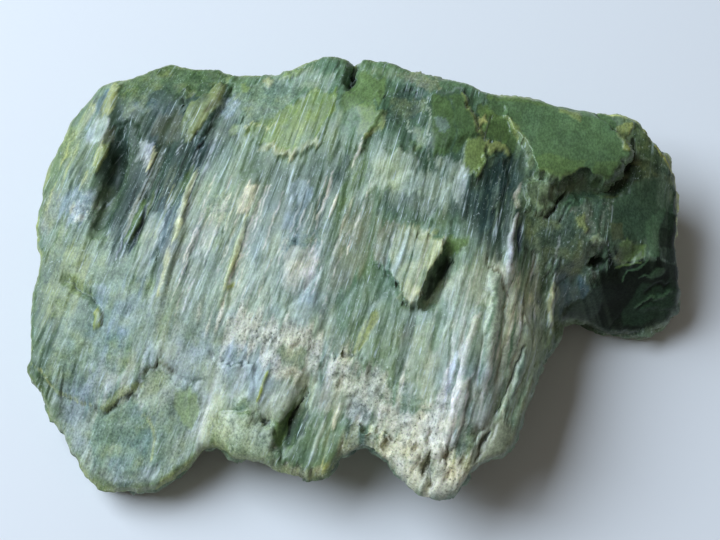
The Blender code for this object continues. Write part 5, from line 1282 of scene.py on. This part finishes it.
class Dressing:
    """Colour, texture and small lift of every point, built up shape by shape."""

    def __init__(self, surface):
        self.surface = surface
        self.places = surface.points
        self.fibre = fibre_coordinates(surface.points)
        self.normals = surface.normals()
        self.up = smoothstep(self.normals[:, 2] * 2.0)
        self.texture = texture_of(self.fibre, self.normals)
        self.x, self.y = torn(surface.points[:, 0], surface.points[:, 1])
        self.tint = np.tile(to_linear(PALETTE["base"]), (len(self.fibre), 1))
        self.lift = np.zeros(len(self.fibre))
        self.breaks = (fibre_noise(self.fibre, 0.9, 12.0, 14) + value_noise(self.places / 1.3, 15)
                       + 0.6 * fibre_noise(self.fibre, 0.45, 6.0, 16))
        self.lay_zones()
        self.lay_patches()
        self.lay_areas()
        self.lay_combs()
        self.lay_strokes()

    def colour(self, where, name, amount):
        """Mix a colour in at some of the points; steep ones take less of it, the wall none."""
        self.tint[where] = mixed(self.tint[where], name, amount * self.up[where])

    def lay_zones(self):
        """A slow drift between two greens, then each zone, full inside and ragged at its edge."""
        drift = fibre_noise(self.fibre, 5.0, 14.0, 80)
        everywhere = np.arange(len(drift))
        self.colour(everywhere, "moss", 0.4 * drift)
        self.colour(everywhere, "mint", -0.3 * drift)
        for _, name, strength, edge, outline in ZONES:
            near = near_shape(outline, self.x, self.y, edge + 2.0)
            depth = inside_depth(outline, self.x[near], self.y[near])
            mask = smoothstep((depth + 0.35 * edge * self.breaks[near]) / edge + 0.5)
            self.colour(near, name, strength * mask)

    def lay_patches(self):
        """Each patch is a spot drawn out along the fibres."""
        everywhere = np.arange(len(self.x))
        for _, name, strength, x, y, half_width, half_length in PATCHES:
            mask = spot_mask(self.fibre, x, y, half_width, half_length)
            self.colour(everywhere, name, strength * mask)

    def lay_areas(self):
        """Each area has a crisp edge; its colour is broken along the fibres as its finish says."""
        for _, name, strength, finish, lift, outline in AREAS:
            near = near_shape(outline, self.x, self.y, 1.0)
            mask = smoothstep(inside_depth(outline, self.x[near], self.y[near]) / 0.3 + 0.5)
            shares, solid, broken = FINISHES[finish]
            cover = mask * unit(solid + broken * self.breaks[near])
            self.colour(near, name, strength * cover)
            self.lift[near] += lift * mask * self.up[near]
            share = (mask * self.up[near])[:, None]
            self.texture[near] += (shares - self.texture[near]) * share

    def lay_combs(self):
        """Threads of random length side by side, each at a random place beside the guide."""
        for _, name, strength, half_width, count, spread, (start, end) in COMBS:
            for offset, first, length, firmness in RANDOM.uniform(0.0, 1.0, (count, 4)):
                length = 0.15 + 0.45 * length ** 2
                first *= 1.0 - length
                along = np.array([[first], [first + length]])
                points = (1.0 - along) * np.array(start) + along * np.array(end)
                points[:, 0] += spread * (offset - 0.5)
                self.lay_line(name, strength * (0.5 + 0.5 * firmness), half_width, 0.0,
                              points.tolist())

    def lay_strokes(self):
        """Single lines, placed one by one."""
        for _, name, strength, half_width, height, points in STROKES:
            self.lay_line(name, strength, half_width, height, points)

    def lay_line(self, name, strength, half_width, height, points):
        """Colour and lift a line that is widest half way along."""
        near = near_shape(points, self.x, self.y, 1.5)
        distance, _, along = line_distance(points, self.x[near], self.y[near])
        width = half_width * (0.4 + 0.6 * np.sqrt(unit(4 * along * (1 - along))))
        mask = smoothstep(1.6 - distance / width)
        cover = mask * unit(0.9 + 0.4 * self.breaks[near])
        self.colour(near, name, strength * cover)
        self.lift[near] += 0.7 * height * mask * self.up[near]


def stone_tint(dressing):
    """The dressed colours, with the wall's, then streaked with some painted sheen, speckled, and given
    painted light at the rim.
    """
    tint = wall_tint(dressing.tint, dressing.surface, dressing.fibre, 1.0 - dressing.up)
    tint = painted_rim_light(speckled(streaked(tint, dressing), dressing), dressing)
    return np.clip(tint * WINDOW_TINT, 0.0, BRIGHTEST)


def streaked(tint, dressing):
    """Brighter and darker along the fibres, partly the stone's own streaks and partly painted sheen, the
    pale side whiter and bluer; and a slow drift of hue that waxy stone has less of.
    """
    fibrous, _, waxy, mottled = dressing.texture.T
    fibre, places = dressing.fibre, dressing.places
    streaky = unit(fibrous + 0.03 * waxy + 0.35 * mottled)
    shade = 0.5 * fibre_noise(fibre, 1.7, 30.0, 81) + 0.4 * fibre_noise(fibre, 0.8, 22.0, 82)
    hue = (0.6 * fibre_noise(fibre, 2.4, 16.0, 96) + 0.6 * value_noise(places / 4.0, 97)
           + 0.5 * value_noise(places / 1.6, 98)) * (1.0 - 0.7 * waxy)
    return tint * np.exp(np.outer(streaky * shade, STREAK_SHEEN_SHIFT) + np.outer(hue, HUE_SHIFT))


def speckled(tint, dressing):
    """Pale crumbs with dark gaps, a yellow and green crust, and green clouds in waxy stone."""
    _, crumbly, waxy, mottled = dressing.texture.T
    places = dressing.places
    crumbs = value_noise(places / 0.9, 85) + 0.6 * value_noise(places / 0.45, 86)
    crust = value_noise(places / 1.7, 87) + 0.6 * value_noise(places / 0.6, 88)
    cloud = value_noise(places / 2.5, 89)
    for name, amount in (("chalk", crumbly * unit(crumbs) * 0.5),
                         ("slate", crumbly * unit(-crumbs - 0.2) * 0.8),
                         ("moss", mottled * unit(crust) * 0.4),
                         ("deep", mottled * unit(-crust) * 0.55),
                         ("deep", waxy * unit(cloud) * 0.2)):
        tint = mixed(tint, name, amount)
    return tint


def painted_rim_light(tint, dressing):
    """Painted light that stands for light coming through the thin rim: a broad green band, a thin pale
    line, and a glow in the east.  The band and the line are strongest on the sides towards the window.

    Each fades out as a bell curve with the distance from the rim, and with the depth below it.
    """
    surface, fibre, places = dressing.surface, dressing.fibre, dressing.places
    x, y = places[:, 0], places[:, 1]
    distance, _, _ = line_distance(surface.outline, x, y)
    lit = smoothstep((y - 0.5 * x) / 14.0)
    lit = np.maximum(lit, 0.6 * smoothstep(-x / 12.0))
    lit *= unit(0.8 + 0.5 * value_noise(places / 1.3, 101) + 0.4 * value_noise(places / 0.5, 102))
    inner = np.exp(-(distance / 1.2) ** 2) * np.exp(-(surface.below / 1.5) ** 2)
    tint = mixed(tint, "leaf", 0.35 * inner * lit)
    width = 0.36 * (1.0 + 0.4 * value_noise(fibre / 2.0, 91))
    edge = np.exp(-(distance / width) ** 2) * np.exp(-(surface.below / 0.4) ** 2)
    tint = mixed(tint, "rim", 0.55 * edge * lit)
    east = smoothstep((y + 1.0) / 6.0) * smoothstep((x - 25.0) / 8.0)
    flicker = unit(0.55 + 0.8 * value_noise(places / 0.8, 103))
    return mixed(tint, "glow", 0.8 * edge ** 2 * east * flicker)


def wall_tint(tint, surface, fibre, side):
    """The wall and the underside: clouded greens with pale torn bands."""
    cloud = value_noise(surface.points / 7.0, 92) + 0.5 * value_noise(surface.points / 3.0, 93)
    tint = mixed(tint, "fern", side * unit(0.5 + cloud) * 0.8)
    tint = mixed(tint, "deep", side * unit(-cloud - 0.1) * 0.9)
    streak = fibre_noise(fibre, 2.2, 11.0, 94) + 0.5 * value_noise(surface.points / 1.2, 95)
    tint = mixed(tint, "sage", side * unit(streak) * 0.8)
    for number, (*size, _) in enumerate(LAYERS):
        level, _ = splinter_cells(fibre / size, LAYER_SALT + number)
        tint = mixed(tint, "sage", side * unit(level - 0.3))
        tint = mixed(tint, "ink", side * unit(-level - 0.3))
    return tint


# ---------------------------------------------------------------- making things in Blender
def make_mesh(name, points, faces, material):
    """A mesh object at the origin, from points in millimetres."""
    mesh = bpy.data.meshes.new(name)
    mesh.from_pydata(points * MM, [], faces)
    mesh.shade_smooth()
    mesh.materials.append(material)
    obj = bpy.data.objects.new(name, mesh)
    bpy.context.scene.collection.objects.link(obj)
    return obj


def give_colours(mesh, name, values):
    """Store three values a point as a colour of the mesh."""
    attribute = mesh.attributes.new(name, "FLOAT_COLOR", "POINT")
    rows = np.concatenate([values, np.ones((len(values), 1))], axis=1)
    attribute.data.foreach_set("color", rows.astype(np.float32).ravel())


def give_vectors(mesh, name, values):
    """Store a vector a point in the mesh."""
    attribute = mesh.attributes.new(name, "FLOAT_VECTOR", "POINT")
    attribute.data.foreach_set("vector", values.astype(np.float32).ravel())


class Shader:
    """The nodes of one material, added by kind; an input is a value or another node's output."""

    def __init__(self, name):
        self.material = bpy.data.materials.new(name)
        self.material.use_nodes = True
        self.tree = self.material.node_tree
        self.tree.nodes.clear()

    def add(self, kind, inputs=None, **settings):
        """A node of this kind, with its inputs set or linked and its settings made."""
        node = self.tree.nodes.new(kind)
        for key, value in settings.items():
            setattr(node, key, value)
        for key, value in (inputs or {}).items():
            if isinstance(value, bpy.types.NodeSocket):
                self.tree.links.new(value, node.inputs[key])
            else:
                node.inputs[key].default_value = value
        return node

    def math(self, operation, first, second, clamp=False):
        """A sum, difference or product of two values, held between 0 and 1 if it is clamped."""
        return self.add("ShaderNodeMath", {0: first, 1: second}, operation=operation,
                        use_clamp=clamp).outputs[0]

    def stretched(self, places, size):
        """Places divided by a size in millimetres for each axis."""
        scale = tuple(1.0 / length for length in size)
        return self.add("ShaderNodeVectorMath", {0: places, 1: scale},
                        operation="MULTIPLY").outputs[0]

    def product(self, first, *others):
        """The factors multiplied together, from first to last."""
        for other in others:
            first = self.math("MULTIPLY", first, other)
        return first

    def noise(self, places, size, detail, roughness=0.55):
        """Noise with cells of this size; more detail and roughness give finer grain."""
        return self.add("ShaderNodeTexNoise", {
            "Vector": self.stretched(places, size), "Scale": 1.0, "Detail": detail,
            "Roughness": roughness}).outputs[0]

    def ramp(self, value, low, high, out_low, out_high):
        """An easy curve from out_low, where the value is low, to out_high, where it is high."""
        return self.add("ShaderNodeMapRange", {
            "Value": value, "From Min": low, "From Max": high, "To Min": out_low,
            "To Max": out_high}, interpolation_type="SMOOTHSTEP").outputs[0]

    def mix(self, colour, mark, *amounts, blend="MIX"):
        """The colour with a mark mixed over it, by the product of the amounts."""
        return self.add("ShaderNodeMix", {0: self.product(*amounts), 6: colour, 7: mark},
                        data_type="RGBA", blend_type=blend).outputs[2]

    def tinted(self, colour, mark, *amounts):
        """The colour multiplied by a mark, by the product of the amounts."""
        return self.mix(colour, mark, *amounts, blend="MULTIPLY")

    def finish(self, inputs):
        """End the material with a Principled shader that has these inputs."""
        surface = self.add("ShaderNodeBsdfPrincipled", inputs)
        self.add("ShaderNodeOutputMaterial", {"Surface": surface.outputs[0]})
        return self.material


# Sizes of the stone's fine patterns, in millimetres across the fibres, along them and up.  Real
# threads are about 0.1 wide; these are drawn 0.3 wide, because finer ones don't show.
THREAD_SIZE = (0.30, 18.0, 0.9)
DASH_SIZE = (0.32, 3.4, 0.7)
GRAIN_SIZE = (0.30, 0.45, 0.30)
BLOTCH_SIZE = (1.8, 4.5, 1.8)
CLOUD_SIZE = (1.4, 1.9, 1.4)
BUMP_HEIGHT = 0.08

# What a mark multiplies the colour under it by: painted shadow in the gaps and nicks, painted shade
# in the dents of the crust, and painted sheen on the threads
GAP_PAINTED_SHADOW = (0.34, 0.44, 0.36, 1.0)
NICK_PAINTED_SHADOW = (0.36, 0.44, 0.38, 1.0)
DENT_PAINTED_SHADE = (0.42, 0.52, 0.54, 1.0)
SHEEN = (1.50, 1.40, 1.56, 1.0)


def serpentine_material():
    """Serpentine: waxy where it broke smooth, silky and streaked where it is fibrous.

    Pale, bluish lines on the threads are painted sheen, the dark gaps between them are painted shadow,
    and crumbs are dull.  Light passes a little way in, and the yellow-green glow of thin edges is also
    painted into the colours at the rim.
    """
    shader = Shader("Serpentine")
    tint = shader.add("ShaderNodeAttribute", attribute_name="tint").outputs["Color"]
    fibre = shader.add("ShaderNodeAttribute", attribute_name="fibre").outputs["Vector"]
    nature = shader.add("ShaderNodeAttribute", attribute_name="nature").outputs["Color"]
    nature = shader.add("ShaderNodeSeparateColor", {0: nature})
    fibrous, crumbly, waxy = nature.outputs[0], nature.outputs[1], nature.outputs[2]
    silk_sheen, fleck, pit, crumb = [(*to_linear(PALETTE[name]), 1.0)
                               for name in ("silk_sheen", "fleck", "pit", "crumb")]

    thread = shader.noise(fibre, THREAD_SIZE, 2.0)
    dash = shader.noise(fibre, DASH_SIZE, 2.0, 0.6)
    grain = shader.noise(fibre, GRAIN_SIZE, 3.0, 0.65)
    blotch = shader.noise(fibre, BLOTCH_SIZE, 2.0)
    cloud = shader.noise(fibre, CLOUD_SIZE, 4.0, 0.65)
    plain = shader.math("SUBTRACT", 1.0, waxy)
    streaky = shader.math("ADD", fibrous, shader.product(plain, 0.3), clamp=True)
    mottled = shader.math("SUBTRACT", plain, shader.math("ADD", fibrous, crumbly), clamp=True)
    patchy = shader.product(streaky, shader.ramp(blotch, 0.34, 0.60, 0.3, 1.0))

    # clouds and grain everywhere
    colour = shader.tinted(tint, shader.ramp(cloud, 0.30, 0.70, 0.84, 1.18), 1.0)
    colour = shader.tinted(colour, shader.ramp(grain, 0.32, 0.68, 0.74, 1.26),
                           shader.ramp(fibrous, 0.0, 1.0, 1.0, 0.5))
    # painted shadow in the gaps and nicks, then painted sheen on the pale threads, where the stone is
    # fibrous
    colour = shader.tinted(colour, GAP_PAINTED_SHADOW, patchy, shader.ramp(thread, 0.46, 0.37, 0.0, 0.5))
    colour = shader.tinted(colour, NICK_PAINTED_SHADOW, patchy, shader.ramp(dash, 0.42, 0.34, 0.0, 0.36))
    colour = shader.tinted(colour, SHEEN, streaky, shader.ramp(dash, 0.53, 0.64, 0.0, 0.65),
                           shader.ramp(blotch, 0.36, 0.62, 0.15, 1.0))
    colour = shader.mix(colour, silk_sheen, streaky, shader.ramp(thread, 0.57, 0.70, 0.0, 0.8),
                        shader.ramp(dash, 0.44, 0.60, 0.1, 1.0))
    # painted shade in the dents of the mottled crust, flecks wherever it isn't waxy, pits and specks
    # among the crumbs
    colour = shader.tinted(colour, DENT_PAINTED_SHADE, mottled, shader.ramp(grain, 0.45, 0.35, 0.0, 0.6))
    colour = shader.mix(colour, fleck, plain, shader.ramp(grain, 0.62, 0.70, 0.0, 0.4))
    colour = shader.mix(colour, pit, crumbly, shader.ramp(grain, 0.42, 0.30, 0.0, 0.8))
    colour = shader.mix(colour, crumb, crumbly, shader.ramp(grain, 0.56, 0.68, 0.0, 0.6))

    fibres = shader.math("ADD", shader.product(thread, 0.7), shader.product(dash, 0.5))
    crumbs = shader.product(grain, shader.math("ADD", crumbly, 0.2), 0.9)
    height = shader.math("ADD", shader.product(fibres, fibrous), crumbs)
    bump = shader.add("ShaderNodeBump", {"Strength": 1.0, "Distance": BUMP_HEIGHT * MM,
                                         "Height": height}).outputs[0]
    dull = shader.math("ADD", shader.ramp(waxy, 0.0, 1.0, 0.40, 0.32), shader.product(crumbly, 0.2))
    return shader.finish({
        "Base Color": colour, "Roughness": dull, "IOR": 1.56, "Normal": bump,
        "Specular IOR Level": shader.ramp(tint, 0.0, 0.20, 0.05, 0.36),
        "Subsurface Weight": 0.12, "Subsurface Radius": (0.6, 1.0, 0.35),
        "Subsurface Scale": 0.8 * MM})


def paper_material(colour):
    """Matt white paper: a faint tooth and no gloss."""
    shader = Shader("Matt paper")
    places = shader.add("ShaderNodeTexCoord").outputs["Object"]
    tooth = shader.add("ShaderNodeTexNoise", {"Vector": places, "Scale": 900.0, "Detail": 4.0})
    bump = shader.add("ShaderNodeBump", {"Strength": 0.15, "Distance": 0.05 * MM,
                                         "Height": tooth.outputs[0]}).outputs[0]
    return shader.finish({"Base Color": (*colour, 1.0), "Roughness": 0.85,
                          "Specular IOR Level": 0.2, "Normal": bump})


# ---------------------------------------------------------------- settings
class StoneSettings(bpy.types.PropertyGroup):
    relief: bpy.props.FloatProperty(
        name="Fine relief", description="How far splinters, crumbs and shells stand out",
        default=1.0, min=0.0, max=2.0, subtype="FACTOR")


class StageSettings(bpy.types.PropertyGroup):
    floor_size: bpy.props.FloatProperty(
        name="Floor size", description="Length of each side of the floor",
        default=1.6, min=0.2, unit="LENGTH")
    floor_colour: bpy.props.FloatVectorProperty(
        name="Floor colour", description="Colour of the floor", size=3,
        default=(0.80, 0.80, 0.80), min=0.0, max=1.0, subtype="COLOR")
    sky_colour: bpy.props.FloatVectorProperty(
        name="Sky colour", description="Colour of the light from all round", size=3,
        default=(1.0, 0.93, 0.84), min=0.0, max=1.0, subtype="COLOR")
    sky_strength: bpy.props.FloatProperty(
        name="Sky strength", description="Strength of the light from all round",
        default=0.13, min=0.0)
    window_colour: bpy.props.FloatVectorProperty(
        name="Window colour", description="Colour of the light from the window", size=3,
        default=(0.72, 0.845, 1.0), min=0.0, max=1.0, subtype="COLOR")
    window_power: bpy.props.FloatProperty(
        name="Window power", description="Power of the window light", default=6.6, min=0.0,
        unit="POWER")
    window_size: bpy.props.FloatProperty(
        name="Window size", description="Length of each side of the window light",
        default=0.50, min=0.01, unit="LENGTH")
    camera_distance: bpy.props.FloatProperty(
        name="Camera distance", description="From the camera to the middle of the stone",
        default=0.23, min=0.1, unit="LENGTH")
    camera_elevation: bpy.props.FloatProperty(
        name="Camera elevation", description="Angle of the view above the floor",
        default=math.radians(72.0), min=0.0, max=math.radians(90.0), subtype="ANGLE")
    lens: bpy.props.FloatProperty(
        name="Lens", description="Focal length of the camera, in millimetres",
        default=82.8, min=10.0)


# ---------------------------------------------------------------- operators
WINDOW_WAY = (-0.70, 0.30, 0.84)        # from the stone to the window
WINDOW_DISTANCE = 0.65                  # in metres
LOOK_AT = (0.0003, 0.0, 0.014)          # where the camera looks, in metres


class SERPENTINE_OT_stone(bpy.types.Operator):
    """Make the stone: one closed surface with its splinters, crumbs and colours"""
    bl_idname = "serpentine.stone"
    bl_label = "Stone"

    def execute(self, context):
        settings = context.scene.serpentine_stone
        surface = Surface()
        dressing = Dressing(surface)
        lift = settings.relief * small_relief(dressing)
        points = surface.points + dressing.normals * lift[:, None]
        points[:, 2] = np.maximum(points[:, 2], 0.0)
        points[:, :2] -= 0.5 * (points[:, :2].max(axis=0) + points[:, :2].min(axis=0))
        faces = surface.quads.tolist() + surface.triangles.tolist()
        stone = make_mesh("Serpentine_stone", points, faces, serpentine_material())
        give_colours(stone.data, "tint", stone_tint(dressing))
        give_colours(stone.data, "nature", dressing.texture[:, :3])
        give_vectors(stone.data, "fibre", dressing.fibre)
        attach(stone, BODY)
        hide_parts(NODE)
        return {"FINISHED"}


class SERPENTINE_OT_stage(bpy.types.Operator):
    """Make the floor, the lights and the camera"""
    bl_idname = "serpentine.stage"
    bl_label = "Stage"

    def execute(self, context):
        settings = context.scene.serpentine_stage
        half = 0.5 * settings.floor_size / MM
        corners = np.array([(-half, -half, 0), (half, -half, 0), (half, half, 0), (-half, half, 0)])
        floor = make_mesh("Floor", corners, [(0, 1, 2, 3)],
                          paper_material(settings.floor_colour))
        context.scene.view_settings.view_transform = "Standard"
        self.light_sky(context, settings)
        self.hang_window(context, settings)
        self.place_camera(context, settings)
        return {"FINISHED"}

    def light_sky(self, context, settings):
        """Even light from all round."""
        world = bpy.data.worlds.new("Daylight")
        world.use_nodes = True
        background = world.node_tree.nodes["Background"]
        background.inputs["Color"].default_value = (*settings.sky_colour, 1.0)
        background.inputs["Strength"].default_value = settings.sky_strength
        context.scene.world = world

    def hang_window(self, context, settings):
        """A square light, high to the left and a little behind, which faces the stone."""
        light = bpy.data.lights.new("Window", "AREA")
        light.energy = settings.window_power
        light.color = settings.window_colour
        light.size = settings.window_size
        window = bpy.data.objects.new("Window", light)
        aim = Vector(WINDOW_WAY).normalized()
        window.location = aim * WINDOW_DISTANCE
        window.rotation_euler = aim.to_track_quat("Z", "Y").to_euler()
        context.scene.collection.objects.link(window)

    def place_camera(self, context, settings):
        """The camera looks at the stone from the near side, by the angle above the floor."""
        camera = bpy.data.objects.new("Camera", bpy.data.cameras.new("Camera"))
        camera.data.lens = settings.lens
        camera.data.clip_start = 0.01
        slope = settings.camera_elevation
        aim = Vector((0.0, -math.cos(slope), math.sin(slope)))
        camera.location = Vector(LOOK_AT) + aim * settings.camera_distance
        camera.rotation_euler = aim.to_track_quat("Z", "Y").to_euler()
        context.scene.collection.objects.link(camera)
        context.scene.camera = camera


class VIEW3D_PT_serpentine(bpy.types.Panel):
    """The settings and the operators, in the order in which they run"""
    bl_label = "Serpentine"
    bl_space_type = "VIEW_3D"
    bl_region_type = "UI"
    bl_category = "Serpentine"

    def draw(self, context):
        for settings, operator in (
                (context.scene.serpentine_stone, SERPENTINE_OT_stone),
                (context.scene.serpentine_stage, SERPENTINE_OT_stage)):
            box = self.layout.box()
            for name in settings.bl_rna.properties.keys():
                if name not in {"rna_type", "name"}:
                    box.prop(settings, name)
            box.operator(operator.bl_idname)


CLASSES = (StoneSettings, StageSettings, SERPENTINE_OT_stone, SERPENTINE_OT_stage,
           VIEW3D_PT_serpentine)


def register():
    """Add the classes and the two groups of settings to Blender."""
    for each in CLASSES:
        bpy.utils.register_class(each)
    bpy.types.Scene.serpentine_stone = bpy.props.PointerProperty(type=StoneSettings)
    bpy.types.Scene.serpentine_stage = bpy.props.PointerProperty(type=StageSettings)


def unregister():
    """Take them out again."""
    del bpy.types.Scene.serpentine_stone
    del bpy.types.Scene.serpentine_stage
    for each in reversed(CLASSES):
        bpy.utils.unregister_class(each)


def main():
    """Make the stone and the stage."""
    register()
    bpy.ops.serpentine.stone()
    bpy.ops.serpentine.stage()


if __name__ == "__main__":
    main()
